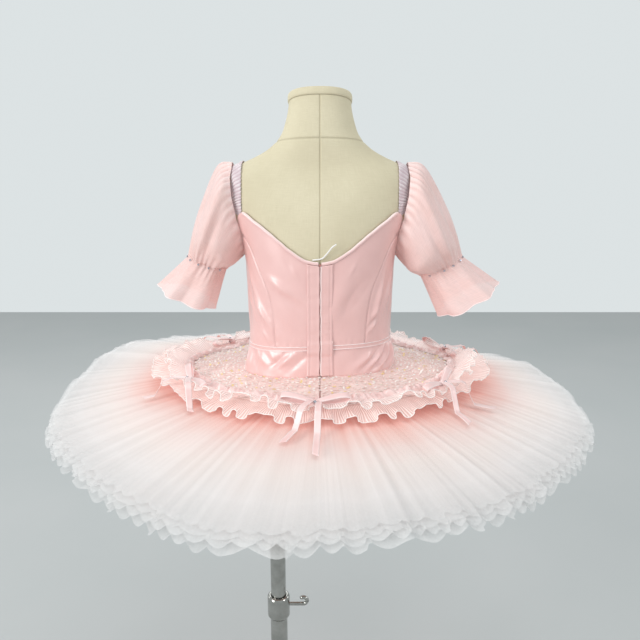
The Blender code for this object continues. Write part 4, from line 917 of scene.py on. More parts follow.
# its last colour is the painted highlight on the crest of the roll
piping_material = make_satin("pale_pink_piping", (0.90, 0.62, 0.60), (0.86, 0.56, 0.54), (0.99, 0.90, 0.89))

# the strip's rounded cross-section: how far out from the form, and how far above the panel's edge
BINDING_ROLL = [
    (0.0016, -0.0008), (0.0015, 0.0002), (0.0021, 0.0009), (0.0030, 0.0012), (0.0039, 0.0010),
    (0.0045, 0.0003), (0.0047, -0.0007), (0.0046, -0.0018), (0.0041, -0.0026), (0.0034, -0.0031),
]
roll_out, roll_up = np.array(BINDING_ROLL).T
roll_step = np.arange(len(BINDING_ROLL))[None, :]
start = math.degrees(ZIP_HALF_WIDTH / NECK_RADIUS)
# each strip's name, its first and last turn, its steps along and its length
BINDING_SPANS = [
    ("back_right", start, CORNER_TURN - 1.5, 150, 0.118),
    ("back_left", -start, -CORNER_TURN + 1.5, 150, 0.118),
    ("front", 180.0 - CORNER_TURN + 1.5, 180.0 + CORNER_TURN - 1.5, 230, 0.255),
]
for name, first, last, steps, length in BINDING_SPANS:
    turn = np.linspace(first, last, steps)[:, None]
    u = np.radians(turn) * BODY_RADIUS
    z = bodice_top(turn) + roll_up[None, :] + 0.0002 * ripples(u, 0.0 * turn, 31, 7, 0.03, 0.006)
    points = on_form(z, turn, roll_out[None, :] + 0 * turn)
    cut = cut_of(np.linspace(0, 0.008, len(roll_up))[None, :], u)
    strip = grid_object(f"neck_piping_{name}", points, piping_material, cut=cut, thickness=0.0004)
    # the edge number paints the crest of the roll paler, a painted highlight; the stitch number darkens its
    # tucked foot as painted shade, with pale thread dashes
    paint(strip, "edge", bell(roll_step - 3.0, 1.2) * 0.9 + 0 * turn)
    paint(strip, "stitch", bell(roll_step - 8.3, 0.5) * 0.3 + 0 * turn)
    dress(strip, "pink_satin", f"neck_binding_{name}")
    declare_cloth(strip, 0.0120, length, "folded", ["satin_front", "satin_back_right"])

turn = np.linspace(start + 0.4, 360.0 - start - 0.4, 300)[:, None]
across = np.linspace(-1, 1, 17)[None, :]
u, cords = np.radians(turn) * BODY_RADIUS, bell(np.abs(across) - 0.84, 0.16)
band_out = FORM_CLEARANCE + SATIN + 0.0001 + 0.0008 * cords - 0.0012 * bell(np.abs(across) - 1.0, 0.05)
band_out = band_out + 0.00015 * ripples(u, across * 0.0025, 41, 8, 0.02, 0.006)
points = on_form(waist_z(turn) + across * 0.00285, turn, band_out)
band_cut = cut_of(across * 0.0028, u)
waist_band = grid_object("waist_band", points, satin_material, cut=band_cut, thickness=0.0006)
# the two cords are painted toward the edge colour, the upper one more: painted highlights
paint(waist_band, "edge", cords * np.where(across > 0, 1.0, 0.85) + 0 * turn)
dress(waist_band, "pink_satin", "waist_binding")
declare_cloth(waist_band, 0.0120, 0.515, "stretched", ["linen_torso"])

elastic_material, tree = make_material("white_elastic", {"Roughness": 0.75})
ELASTIC_TINTS = [(0.3, (0.82, 0.80, 0.78)), (0.7, (0.93, 0.92, 0.90))]
elastic_noise = object_noise(tree, 900.0, 2.0)
feed(tree, "Base Color", ramp(tree, elastic_noise, ELASTIC_TINTS))
add_bump(tree, elastic_noise, 0.4, 0.0002)
RoutePoint = namedtuple("RoutePoint", "step x z out")
ELASTIC_ROUTE = table(RoutePoint, [
    (0, 0.0085, 0.9068, 0.0013), (1, 0.0040, 0.9073, 0.0015), (2, -0.0020, 0.9085, 0.0020),
    (3, -0.0060, 0.9120, 0.0030), (4, -0.0100, 0.9172, 0.0042), (5, -0.0140, 0.9225, 0.0056),
    (6, -0.0180, 0.9255, 0.0064),
])
step = np.linspace(0, 6, 37)
route_x, route_z, route_out = (smooth_curve(step, ELASTIC_ROUTE, column) for column in ("x", "z", "out"))
elastic_line = on_form(route_z, np.degrees(np.arctan2(route_x, BACK_RADIUS)), route_out)
elastic_end = cord_object("elastic_end_cord", elastic_line, 0.0009, elastic_material, sides=8)
dress(elastic_end, "white_net", "elastic_end")

# ----------------------------------------------------------------------------
# Basque: a smooth satin band below the waist seam, cut in two halves and drawn over the hips, where it
# pulls into slanting folds with bright crests

BASQUE_FOLDS = table(Fold, [
    (84.0, 0.774, 84.0, 0.020, 0.0034, -0.0011), (73.0, 0.774, 76.0, 0.020, 0.0034, 0.0015),
    (62.0, 0.775, 66.0, 0.022, 0.0036, -0.0013), (53.0, 0.781, 48.0, 0.012, 0.0044, 0.0012),
    (43.0, 0.785, 42.0, 0.008, 0.0030, 0.0009), (38.0, 0.778, 132.0, 0.012, 0.0034, -0.0009),
    (28.5, 0.783, 140.0, 0.016, 0.0040, 0.0013), (20.0, 0.779, 136.0, 0.012, 0.0034, -0.0008),
    (-38.0, 0.780, 146.0, 0.014, 0.0036, 0.0009), (-46.0, 0.779, 144.0, 0.016, 0.0030, -0.0010),
    (-52.0, 0.782, 142.0, 0.018, 0.0026, 0.0020), (-57.0, 0.781, 140.0, 0.018, 0.0024, -0.0013),
    (-62.0, 0.780, 138.0, 0.018, 0.0026, 0.0021), (-67.0, 0.779, 136.0, 0.018, 0.0026, -0.0013),
    (-73.0, 0.778, 132.0, 0.018, 0.0030, 0.0021), (-81.0, 0.775, 120.0, 0.018, 0.0034, -0.0012),
    (110.0, 0.772, 118.0, 0.018, 0.0042, 0.0012), (132.0, 0.770, 124.0, 0.016, 0.0046, 0.0010),
    (155.0, 0.770, 105.0, 0.014, 0.0050, 0.0009), (-112.0, 0.772, 62.0, 0.018, 0.0042, 0.0012),
    (-134.0, 0.768, 58.0, 0.016, 0.0046, 0.0010), (-158.0, 0.770, 75.0, 0.014, 0.0050, 0.0009),
])
BASQUE_GAP, BASQUE_ROLL = 0.0024, 0.0012
for side, sign in (("right", 1.0), ("left", -1.0)):
    turn = sign * (zip_turn + crowded_ends(176)[:, None] * (180.0 - 0.1 - zip_turn))
    down = crowded_ends(34)[None, ::-1]
    z = waist_z(turn) - BASQUE_GAP - down * (BASQUE_HEIGHT - BASQUE_GAP) - BASQUE_ROLL * down**8
    u = np.radians(turn) * BODY_RADIUS
    fade = np.sin(np.pi * np.clip(0.15 + 0.7 * down, 0, 1))
    out = FORM_CLEARANCE + SATIN - 0.0002 + BASQUE_FLARE * down
    out = out + 2.3 * folds(BASQUE_FOLDS, turn, z, BODY_RADIUS) * fade
    out = out + 0.0004 * ripples(u, z, 61 + int(sign), 9, 0.045, 0.012)
    out = out + 0.00025 * ripples(u, z * 0.3, 63, 8, 0.009, 0.004) * bell(down * BASQUE_HEIGHT, 0.005)
    out = np.maximum(out - 0.0006 * bell((1 - down) * BASQUE_HEIGHT, 0.0010), FORM_CLEARANCE + 0.0006)
    half = grid_object(
        f"satin_basque_{side}", on_form(z, turn, out), satin_material, cut=cut_of(u, z),
        thickness=SATIN_THICKNESS,
    )
    # a stitched row 2 mm below the top, darkened as painted shade along it, with pale thread dashes
    paint(half, "stitch", bell(down * BASQUE_HEIGHT - 0.0020, 0.0004) * 0.4 + 0 * turn)
    dress(half, "pink_satin", f"basque_{side}")
    declare_cloth(half, 0.275, 0.042, "stretched", ["linen_torso", "satin_briefs"])

# ----------------------------------------------------------------------------
# Straps: whitish stretch bands, shirred over elastic into fine ribs, from the back corners of the bodice
# over the ends of the shoulders to the front

STRAP_PIVOT_Z, STRAP_END_ANGLE, STRAP_RIBS = 0.9590, 82.0, 32
CHIFFON_FINISH = {
    "Roughness": 0.75, "Specular IOR Level": 0.3, "Sheen Weight": 0.35, "Sheen Roughness": 0.5,
}


def outside_form(point):
    """Above 0 outside the dress form, below 0 inside it, from the superellipse at the point's height."""
    x, y, z = point[..., 0], point[..., 1], point[..., 2]
    wide = smooth_curve(z, FORM_SECTIONS, "half_width")
    deep = np.where(y > 0, smooth_curve(z, FORM_SECTIONS, "back"), smooth_curve(z, FORM_SECTIONS, "front"))
    return np.abs(x / wide) ** OVAL_POWER + np.abs(y / deep) ** OVAL_POWER - 1


def shoulder_spot(x, angle, out):
    """The shoulder's point in the plane x, at an angle from straight up about the pivot, moved out: the ray
    is cut in half again and again until it meets the form's face."""
    a = np.radians(angle)
    x, a = np.broadcast_arrays(x, a)
    heading = np.stack([np.zeros_like(a), np.sin(a), np.cos(a)], axis=-1)
    pivot = np.stack([x, np.zeros_like(x), np.full_like(x, STRAP_PIVOT_Z)], axis=-1)
    near, far = np.zeros_like(a), np.full_like(a, 0.08)
    for _ in range(40):
        middle = (near + far) / 2
        inside = outside_form(pivot + heading * middle[..., None]) < 0
        near, far = np.where(inside, middle, near), np.where(inside, far, middle)
    return pivot + heading * (near + out)[..., None]


def make_chiffon(name, light, shade, alpha, threads):
    """Sheer cloth: fine crossed threads that let light through; where its edge is 1 it is denser, and paler
    as a painted highlight.
    """
    material, tree = make_material(name, CHIFFON_FINISH)
    woven = place_grain(tree, threads, 1.4)[0]
    base = ramp(tree, object_noise(tree, 30.0, 3.0), [(0.3, shade), (0.7, light)])
    # the edge number paints the cloth paler on crests and edges: a painted highlight
    painted_highlight = point_number(tree, "edge")
    highlight_colour = tuple(min(0.5 + 0.5 * value, 0.97) for value in light)
    feed(tree, "Base Color", mixed(tree, painted_highlight, base, highlight_colour))
    open_share = maths(tree, "ADD", maths(tree, "MULTIPLY", woven["Tone"], 0.16), alpha)
    solid = maths(tree, "ADD", open_share, maths(tree, "MULTIPLY", painted_highlight, 0.6))
    feed(tree, "Alpha", maths(tree, "MINIMUM", solid, 1.0))
    add_bump(tree, woven["Height"], 0.2, 0.0003)
    return material


# the strap's base is darker than the white band, so its valleys show painted shade, and its crests are
# painted paler: painted light and shade on the ribs
strap_material = make_chiffon("shirred_white_stretch", (0.62, 0.48, 0.52), (0.54, 0.41, 0.45), 1.0, 1500.0)
angle = np.linspace(-STRAP_END_ANGLE, STRAP_END_ANGLE + 17.0, STRAP_RIBS * 12 + 1)[:, None]
across = np.linspace(0, 1, 11)[None, :]
for side, sign in (("right", 1.0), ("left", -1.0)):
    wander = 1.5 * ripples(angle / 90, across * 0.2, 71 + int(sign), 6, 0.5, 0.15)
    beat = np.radians(angle / (2 * STRAP_END_ANGLE) * 360.0 * STRAP_RIBS) + wander
    uneven = 0.8 + 0.2 * np.cos(np.pi * (across * 2 + angle / 14))
    rib = np.abs(np.sin(beat / 2 + 0.8 * across)) ** 0.7 * uneven
    x = 0.0942 + 0.0142 * across + 0.0003 * np.sin(beat) * (2 * across - 1)
    out = 0.0015 + 0.0016 * rib - 0.0007 * (bell(across, 0.10) + bell(1 - across, 0.10))
    out = np.where(angle > STRAP_END_ANGLE, np.minimum(out, 0.0019), out)
    points = shoulder_spot(x, angle, out) * [sign, 1.0, 1.0]
    cut = cut_of(across * 0.011, np.radians(angle) * 0.075)
    inner_side = (sign * 0.1, 0.0, 0.93)
    strap = grid_object(
        f"shirred_strap_{side}", points, strap_material, facing=inner_side, cut=cut, thickness=0.0005
    )
    # the ribs' crests are painted pale and made denser: a painted highlight
    paint(strap, "edge", rib**1.5)
    dress(strap, "pink_chiffon", f"strap_{side}")
    declare_cloth(strap, 0.0130, 0.30, "gathered", ["linen_torso", f"satin_back_{side}"])

# ----------------------------------------------------------------------------
# Sleeves: puffs of sheer pink chiffon, gathered in close folds at the strap and into elastic above the
# elbow, with a flared, fluted cuff below it that ends in a narrow rolled hem

# each ring of a sleeve, from the shoulder down: its outer and its inner point, its half-depth in Y, and how
# full its folds are
SleeveRing = namedtuple("SleeveRing", "step outer_x outer_z inner_x inner_z half_depth gather")
SLEEVE_RINGS = {
    "right": table(SleeveRing, [
        (0, 0.1076, 1.0140, 0.0969, 0.9040, 0.0354, 0.1),
        (1, 0.1260, 1.0060, 0.0990, 0.8985, 0.0480, 0.8),
        (2, 0.1460, 0.9640, 0.1060, 0.8920, 0.0520, 0.5),
        (3, 0.1590, 0.9290, 0.1090, 0.8880, 0.0460, 0.6),
        (4, 0.1655, 0.8990, 0.1200, 0.8830, 0.0270, 1.0),
    ]),
    "left": table(SleeveRing, [
        (0, 0.1076, 1.0140, 0.0969, 0.9040, 0.0354, 0.1),
        (1, 0.1285, 1.0050, 0.0995, 0.8970, 0.0480, 0.8),
        (2, 0.1560, 0.9590, 0.1080, 0.8870, 0.0530, 0.5),
        (3, 0.1710, 0.9260, 0.1140, 0.8790, 0.0470, 0.6),
        (4, 0.1785, 0.8985, 0.1290, 0.8740, 0.0270, 1.0),
    ]),
}
CUFF_HEM = {
    "right": SleeveRing(0, 0.2055, 0.8605, 0.1380, 0.8310, 0.0400, 1.0),
    "left": SleeveRing(0, 0.2270, 0.8630, 0.1560, 0.8210, 0.0420, 1.0),
}
SLEEVE_SEEDS = {"right": 81, "left": 87}


def sleeve_points(ring, a, bulge):
    """Points round the sleeve at a ring: an ellipse from its outer to its inner point, half_depth in Y,
    pushed out by bulge."""
    nought = 0 * ring.half_depth
    outer = np.stack([ring.outer_x, nought, ring.outer_z], axis=-1)
    inner = np.stack([ring.inner_x, nought, ring.inner_z], axis=-1)
    centre, reach = (outer + inner) / 2, (outer - inner) / 2
    length = np.linalg.norm(reach, axis=-1)[..., None]
    across = np.stack([nought, ring.half_depth, nought], axis=-1)
    grow = 1 + bulge[..., None] / length
    return centre + grow * (np.cos(a)[..., None] * reach + np.sin(a)[..., None] * across)


chiffon_material = make_chiffon("pink_chiffon_cloth", (0.93, 0.69, 0.66), (0.90, 0.62, 0.58), 0.86, 1300.0)
hem_material = make_chiffon("rolled_chiffon_hem", (0.97, 0.87, 0.86), (0.95, 0.80, 0.79), 1.0, 1800.0)
a = np.radians(np.arange(0.0, 360.0, 1.5))[:, None]
step = 4 * np.linspace(0, 1, 62)[None, :]
at_head, at_elastic = bell(step, 0.80), np.exp(-(((4 - step) / 0.9) ** 1.5))
for side, sign in (("right", 1.0), ("left", -1.0)):
    mirror, seed, rings = np.array([sign, 1.0, 1.0]), SLEEVE_SEEDS[side], SLEEVE_RINGS[side]
    ring = SleeveRing(step, *(smooth_curve(step, rings, name) for name in SleeveRing._fields[1:]))
    drift = 0.9 * np.sin(2 * a + seed) + 0.6 * np.sin(3 * a + 2.0) + 0.25 * np.sin(step * 1.7 + a)
    head_folds = np.cos(31 * a + 4 * drift)
    elastic_folds = np.cos(27 * a + 3 * drift)
    soft = np.cos(5 * a + 1.5 * drift + 0.5 * step) + 0.6 * np.cos(11 * a + 3 * drift - 0.5 * step)
    bulge = ring.gather * 0.0020 * np.cos(6 * a)
    uneven = (0.7 + 0.5 * np.sin(5 * a + seed)) * np.clip(step / 0.12, 0, 1)
    bulge = bulge + 0.0018 * head_folds * at_head * uneven
    bulge = bulge + 0.0009 * elastic_folds * at_elastic * np.clip((4.15 - step) / 0.3, 0.3, 1)
    bulge = bulge + 0.0019 * soft * np.sin(np.pi * np.clip(step / 4, 0, 1)) ** 0.7
    points = sleeve_points(ring, a, bulge)
    # the head of the sleeve stands clear of the strap, and tucks in under the arm
    z = points[..., 2]
    beside_strap = np.clip((z - 0.955) / 0.02, 0, 1) * np.clip((1.008 - z) / 0.01, 0, 1)
    points[..., 0] += bell(step, 0.45) * (0.0024 * beside_strap - 0.0030 * np.clip((0.950 - z) / 0.015, 0, 1))
    points = points * mirror
    puff = grid_object(
        f"chiffon_puff_{side}", points, chiffon_material, facing=tuple(points.mean(axis=(0, 1))), around=True,
        cut=cut_of(a * 0.050, step * 0.030),
    )
    # the gathers' crests near the head are painted paler and made denser: a painted highlight on the folds
    paint(puff, "edge", 0.5 * at_head * (0.5 + 0.5 * head_folds))
    dress(puff, "pink_chiffon", f"sleeve_{side}")

    first, last = (
        sleeve_points(end, a[:, 0], end.gather * depth * np.cos(6 * a[:, 0]))
        for end, depth in ((rings[-1], 0.0012), (CUFF_HEM[side], 0.0028))
    )
    heading = unit(last.mean(axis=0) - first.mean(axis=0))
    first = first + heading * 0.0012
    share = np.linspace(0, 1, 34)[None, :]
    cuff_points = first[:, None] + (share**0.9)[..., None] * (last - first)[:, None]
    middle = cuff_points.mean(axis=0, keepdims=True)
    out_way = unit(cuff_points - middle)
    flute = 0.0008 * np.cos(26 * a + 4 * np.sin(2 * a + 1.0)) * bell(share, 0.30)
    flute = flute + 0.0018 * share * np.cos(9 * a + 2.5 * np.sin(2 * a + seed))
    flute = (flute + 0.0002 * share * np.cos(23 * a + seed)) * (0.35 + 0.65 * np.abs(np.sin(a)))
    waver = 0.0005 * share * np.cos(7 * a + seed)
    cuff_points = (cuff_points + out_way * flute[..., None] + heading * waver[..., None]) * mirror
    cuff_middle = tuple(middle.mean(axis=(0, 1)) * mirror)
    cuff = grid_object(
        f"chiffon_cuff_{side}", cuff_points, chiffon_material, facing=cuff_middle, around=True,
        cut=cut_of(a * (0.026 + 0.018 * share), share * 0.052),
    )
    dress(cuff, "pink_chiffon", f"cuff_{side}")
    hem_line = cuff_points[:, -1]
    hem_cord = cord_object(f"rolled_hem_{side}", hem_line, 0.00065, hem_material, sides=6, closed=True)
    dress(hem_cord, "pink_chiffon")
    casing_line = (points[:, -1] + cuff_points[:, 0]) / 2
    casing_size = 0.0009 + 0.0003 * elastic_folds[:, -1]
    casing = cord_object(
        f"gather_casing_{side}", casing_line, casing_size, chiffon_material, sides=8, closed=True
    )
    dress(casing, "pink_chiffon")
    declare_cloth(puff, 0.42, 0.145, "gathered", [f"shirred_strap_{side}"], [casing])
    declare_cloth(cuff, 0.36, 0.062, "gathered", [f"chiffon_puff_{side}"], [hem_cord])

# ----------------------------------------------------------------------------
# Net: layers of stiff tulle sewn to the briefs, dyed coral at the root and fading to cool white, gathered
# so close that each stands out almost flat in fine radial folds, with a soft scalloped edge

NetLayer = namedtuple("NetLayer", "name root_z drop reach")
NET_LAYERS = table(NetLayer, [
    ("net_layer_top", 0.7385, 0.0000, 1.000),
    ("net_layer_middle", 0.7285, 0.0045, 1.000),
    ("net_layer_lower", 0.7185, 0.0095, 0.995),
])
PLEAT_DEPTH, ROOT_PLEAT_DEPTH, NET_ROOT_TIP = 0.0042, 0.0008, 0.0055
HemPoint = namedtuple("HemPoint", "turn radius z")
HEM = table(HemPoint, [
    (0.0, 0.350, 0.713), (12.0, 0.354, 0.708), (35.0, 0.340, 0.707), (55.0, 0.336, 0.704),
    (75.0, 0.350, 0.693), (92.0, 0.367, 0.689), (106.0, 0.370, 0.707), (118.0, 0.368, 0.722),
    (132.0, 0.362, 0.713), (150.0, 0.355, 0.700), (180.0, 0.350, 0.690), (210.0, 0.353, 0.687),
    (230.0, 0.360, 0.689), (247.0, 0.364, 0.699), (262.0, 0.368, 0.686), (274.0, 0.365, 0.676),
    (290.0, 0.340, 0.681), (305.0, 0.328, 0.688), (330.0, 0.334, 0.703), (348.0, 0.343, 0.712),
    (360.0, 0.350, 0.713),
])
PlateEdge = namedtuple("PlateEdge", "turn radius frill_radius")
PLATE_EDGE = table(PlateEdge, [
    (0.0, 0.1480, 0.1760), (18.0, 0.1490, 0.1760), (38.0, 0.1520, 0.1810), (52.0, 0.1600, 0.1850),
    (69.0, 0.1670, 0.1960), (84.0, 0.1770, 0.2180), (100.0, 0.1890, 0.2320), (112.0, 0.1860, 0.2370),
    (130.0, 0.1750, 0.2270), (146.0, 0.1880, 0.2320), (163.0, 0.1930, 0.2330), (180.0, 0.1820, 0.2240),
])


def hem_radius(layer, turn):
    return layer.reach * smooth_curve(np.mod(turn, 360.0), HEM, "radius")


def hem_z(layer, turn):
    return smooth_curve(np.mod(turn, 360.0), HEM, "z") - layer.drop


def net_root_z(layer, turn):
    return layer.root_z + NET_ROOT_TIP * np.cos(np.radians(turn))


def net_root_radius(layer, turn):
    return form_radius(net_root_z(layer, turn), turn, BRIEFS_CLEARANCE + SATIN + SEAM_GAP)


def net_height(layer, radius, turn):
    """The height of a layer's middle, without its folds: it droops more and more towards the hem."""
    root = net_root_radius(layer, turn)
    share = np.clip((radius - root) / (hem_radius(layer, turn) - root), 0, 1)
    start = net_root_z(layer, turn)
    return start + (hem_z(layer, turn) - start) * share**1.5


def plate_radius(turn):
    return smooth_curve(from_back(turn), PLATE_EDGE, "radius")


def frill_radius(turn):
    return smooth_curve(from_back(turn), PLATE_EDGE, "frill_radius")


def fold_phase(turn, seed, count, unevenness):
    """A phase that runs count times round the body and drifts by sines, for folds of uneven width."""
    chance = np.random.default_rng(seed)
    phase = np.radians(turn) * count
    for waves in (2, 3, 5, 7, 11, 17):
        size, start = chance.uniform(0.4, 1.0), chance.uniform(0, 6.3)
        phase = phase + unevenness * size * np.sin(np.radians(turn) * waves + start)
    return phase


def gathers(turn, seed, count, unevenness, crest=0.85):
    """Folds round the body, -1 to 1. A crest below 1 gives rounded loops between narrow crests, and 2 an
    even wave."""
    return 1 - 2 * np.abs(np.sin(fold_phase(turn, seed, count, unevenness) / 2)) ** crest


def fold_back(turn, seed, count, unevenness):
    """Degrees of sideways swing that make such waves bulge at their tops and feet: sin of twice the phase
    over the phase's rate. More than half of it makes them overhang."""
    phase = fold_phase(turn, seed, count, unevenness)
    rate = np.gradient(phase, axis=0) / np.gradient(turn, axis=0)
    return np.sin(2 * phase) / np.maximum(rate, 0.6 * math.radians(count))


def evened_normal(tree, level):
    """The surface's normal with its level part cut to this share, so that steep folds shade less."""
    facing = tree.nodes.new("ShaderNodeNewGeometry")
    flatter = node(tree, "ShaderNodeVectorMath", {1: (level, level, 1.0)}, operation="MULTIPLY")
    tree.links.new(facing.outputs["Normal"], flatter.inputs[0])
    even = node(tree, "ShaderNodeVectorMath", operation="NORMALIZE")
    tree.links.new(flatter.outputs[0], even.inputs[0])
    return even.outputs[0]


def cell_distance(tree, cut, scale, randomness, feature):
    """The distance to the middle or the edge of cells scattered over the cut."""
    cells = node(tree, "ShaderNodeTexVoronoi", {"Scale": scale, "Randomness": randomness}, feature=feature)
    tree.links.new(cut, cells.inputs["Vector"])
    return cells.outputs["Distance"]


# the dye's colours from root to hem, and how densely the mesh covers there
NET_DYE = [
    (0.00, (0.90, 0.42, 0.36)), (0.20, (0.91, 0.52, 0.455)), (0.31, (0.90, 0.62, 0.565)),
    (0.44, (0.89, 0.735, 0.695)), (0.60, (0.88, 0.80, 0.765)), (0.80, (0.85, 0.82, 0.81)),
    (1.00, (0.80, 0.80, 0.80)),
]
NET_COVER = [(0.20, 0.93), (0.55, 0.87), (0.80, 0.74), (0.92, 0.52), (1.0, 0.30)]
NET_DENSITY = [(place, (cover,) * 3) for place, cover in NET_COVER]
# the net glows faintly in its own colour: painted light, standing in for light scattered through the tulle
NET_FINISH_AND_GLOW = {"Emission Strength": 0.07, "Roughness": 0.85, "Specular IOR Level": 0.1}
net_material, tree = make_material("dyed_tulle", NET_FINISH_AND_GLOW)
net_fade = point_number(tree, "fade")
net_wander = maths(tree, "MULTIPLY", maths(tree, "SUBTRACT", object_noise(tree, 14.0, 2.0), 0.5), 0.16)
net_dye = ramp(tree, maths(tree, "ADD", net_fade, net_wander), NET_DYE)
net_cut = node(tree, "ShaderNodeUVMap", uv_map="cut").outputs["UV"]
net_streaks = node(tree, "ShaderNodeMapping", {"Scale": (150.0, 2.2, 1.0)})
tree.links.new(net_cut, net_streaks.inputs["Vector"])
net_streak = node(tree, "ShaderNodeTexNoise", {"Scale": 1.0, "Detail": 4.0, "Roughness": 0.6})
tree.links.new(net_streaks.outputs["Vector"], net_streak.inputs["Vector"])
net_streak_half = maths(tree, "MULTIPLY", net_streak.outputs["Fac"], 0.5)
# the fold number paints the net paler on the crests of its folds, a painted highlight, on top of the random
# streaks
net_fold_light_half = maths(tree, "MULTIPLY", point_number(tree, "tone"), 0.5)
net_light = maths(tree, "ADD", net_streak_half, net_fold_light_half)
net_pale = map_range(tree, net_light, 0.30, 0.75, 0.0, 0.30)
net_colour = mixed(tree, net_pale, net_dye, (0.94, 0.90, 0.89))
# the rim number paints the hem's edge paler, a painted highlight, and makes it a little denser
net_hem_highlight = point_number(tree, "rim")
net_tint = mixed(tree, maths(tree, "MULTIPLY", net_hem_highlight, 0.35), net_colour, (0.93, 0.94, 0.94))
feed(tree, "Base Color", net_tint)
# the same colour, its painted highlights included, is fed as the glow
feed(tree, "Emission Color", net_tint)
net_holes = cell_distance(tree, net_cut, 900.0, 0.35, "DISTANCE_TO_EDGE")
net_thread = map_range(tree, net_holes, 0.05, 0.30, 0.12, -0.12)
net_fold = maths(tree, "MULTIPLY", maths(tree, "SUBTRACT", net_light, 0.5), 0.30)
net_dense = ramp(tree, net_fade, NET_DENSITY)
net_alpha = maths(tree, "ADD", net_dense, maths(tree, "ADD", net_thread, net_fold))
net_alpha = maths(tree, "ADD", net_alpha, maths(tree, "MULTIPLY", net_hem_highlight, 0.16))
net_solid = maths(tree, "MAXIMUM", maths(tree, "MINIMUM", net_alpha, 1.0), 0.20)
feed(tree, "Alpha", net_solid)
add_bump(tree, net_streak.outputs["Fac"], 0.25, 0.0005, evened_normal(tree, 0.12))

net_turns = np.arange(0.0, 360.0, 0.3)[:, None]
net_shares = (np.linspace(0, 1, 22) ** 0.8)[None, :]


def net_surface(layer, seed, lift, droop, reach, loops, loop_depth):
    """One layer of tulle from root to hem: broad folds, finer uneven ones that widen with the radius,
    overlapping gathers that step the outline, and rounded loops hanging along the edge."""
    root = net_root_radius(layer, net_turns)
    hem = hem_radius(layer, net_turns) * reach
    sway = 40 * np.sin(np.radians(net_turns * 3 + seed))
    broad = 0.5 * np.cos(np.radians(32 * net_turns)) + 0.5 * np.cos(np.radians(net_turns * 29 + sway))
    folds = gathers(net_turns, seed, loops // 2, 2.6, 2.0)
    fine = gathers(net_turns, seed + 5, loops + 31, 4.5, 2.0)
    edge_loops = gathers(net_turns, seed + 9, loops, 2.4, 0.9)
    steps = np.mod(net_turns * 34 / 360 + 0.7 * np.sin(np.radians(net_turns * 5 + seed)), 1.0) - 0.5
    steps = steps * np.sign(np.sin(np.radians(net_turns + 0.001)))
    radius = root + net_shares * (hem - 0.004 - root)
    radius = radius + net_shares**4 * 0.0045 * steps - net_shares**8 * 0.0016 * edge_loops
    depth = ROOT_PLEAT_DEPTH + net_shares * (PLEAT_DEPTH - ROOT_PLEAT_DEPTH)
    z = net_height(layer, radius, net_turns) + lift - droop * net_shares**2 + 0.38 * depth * broad
    z = z + 0.0008 * net_shares * folds + 0.0002 * net_shares * fine
    z = z + loop_depth * net_shares**10 * edge_loops
    edge = frill_radius(net_turns) * 0.97
    fade = (radius - edge) / (hem - edge) * 0.80 + 0.20
    # how much paler the net is painted on the crests of its folds: a painted highlight
    tone = 0.5 + 0.20 * folds + 0.10 * broad + 0.08 * fine + 0 * radius
    # the last rows of the hem, painted paler as a highlight along the edge
    rim = bell(1 - net_shares, 0.008) * min(1.0, loop_depth / 0.003) + 0 * radius
    return spot(radius, net_turns, z), {"fade": np.clip(fade, 0, 1), "tone": tone, "rim": rim}


def join_meshes(name, parts):
    """One object from several; their cut and their numbers per point are kept."""
    work = bmesh.new()
    for part in parts:
        work.from_mesh(part.data)
    work.to_mesh(parts[0].data)
    work.free()
    for part in parts[1:]:
        bpy.data.objects.remove(part)
    parts[0].name = name
    return parts[0]


# each sheet: seed, lift, droop, reach, loops round the hem, depth of the loops
NET_SHEETS = {
    "net_layer_top": [(101, 0.0006, 0.0, 0.975, 112, 0.0006), (102, -0.0012, 0.0012, 0.990, 98, 0.001)],
    "net_layer_middle": [(103, 0.0004, 0.0, 1.004, 106, 0.0022), (104, -0.0016, 0.0014, 0.985, 92, 0.001)],
    "net_layer_lower": [(105, 0.0002, 0.001, 1.014, 80, 0.0034)],
}
net_sheet_cut = cut_of(np.radians(net_turns) * 0.36, net_shares * 0.27)
for layer in NET_LAYERS:
    parts = []
    for values in NET_SHEETS[layer.name]:
        points, numbers = net_surface(layer, *values)
        part = grid_object("tulle_sheet", points, net_material, facing="up", around=True, cut=net_sheet_cut)
        for name, number in numbers.items():
            paint(part, name, number)
        parts.append(part)
    tulle = join_meshes(f"tulle_{layer.name[10:]}", parts)
    dress(tulle, "white_net", layer.name)
    declare_cloth(tulle, 2.9 * len(parts), 0.275, "gathered", ["satin_briefs"])

# ----------------------------------------------------------------------------
# Plate: the decorated overskirt, pink net over satin, embroidered and set with cupped sequins in uneven
# rows, white and pearly with a few yellow ones; it lies on the net from under the basque out to the ruche


def plate_edge_z(turn):
    return 0.7440 + 0.0105 * np.cos(np.radians(turn))


def plate_height(share, turn):
    """From the basque's lower edge (share 0) to the plate's own edge (share 1), a little domed."""
    inner, outer = basque_edge_z(turn) - BASQUE_ROLL, plate_edge_z(turn)
    return inner + (outer - inner) * share + 0.0022 * np.sin(np.pi * share)


def plate_inner_radius(turn):
    return form_radius(basque_edge_z(turn), turn, FORM_CLEARANCE + 0.0004)


def plate_share(radius, turn):
    """0 at the basque's lower edge, 1 at the plate's own edge."""
    inner = plate_inner_radius(turn)
    return (radius - inner) / (plate_radius(turn) - inner)


def rumple(radius, turn, share):
    """How the plate's net lies up and down, flat at its two edges."""
    rise = 0.0007 * ripples(np.radians(turn) * 0.13, radius, 111, 12, 0.030, 0.008)
    return rise * np.sin(np.pi * np.clip(share * 1.2, 0, 1))


lace_material, tree = make_material("embroidered_pink_net", {"Roughness": 0.6})
lace_cut = node(tree, "ShaderNodeUVMap", uv_map="cut").outputs["UV"]
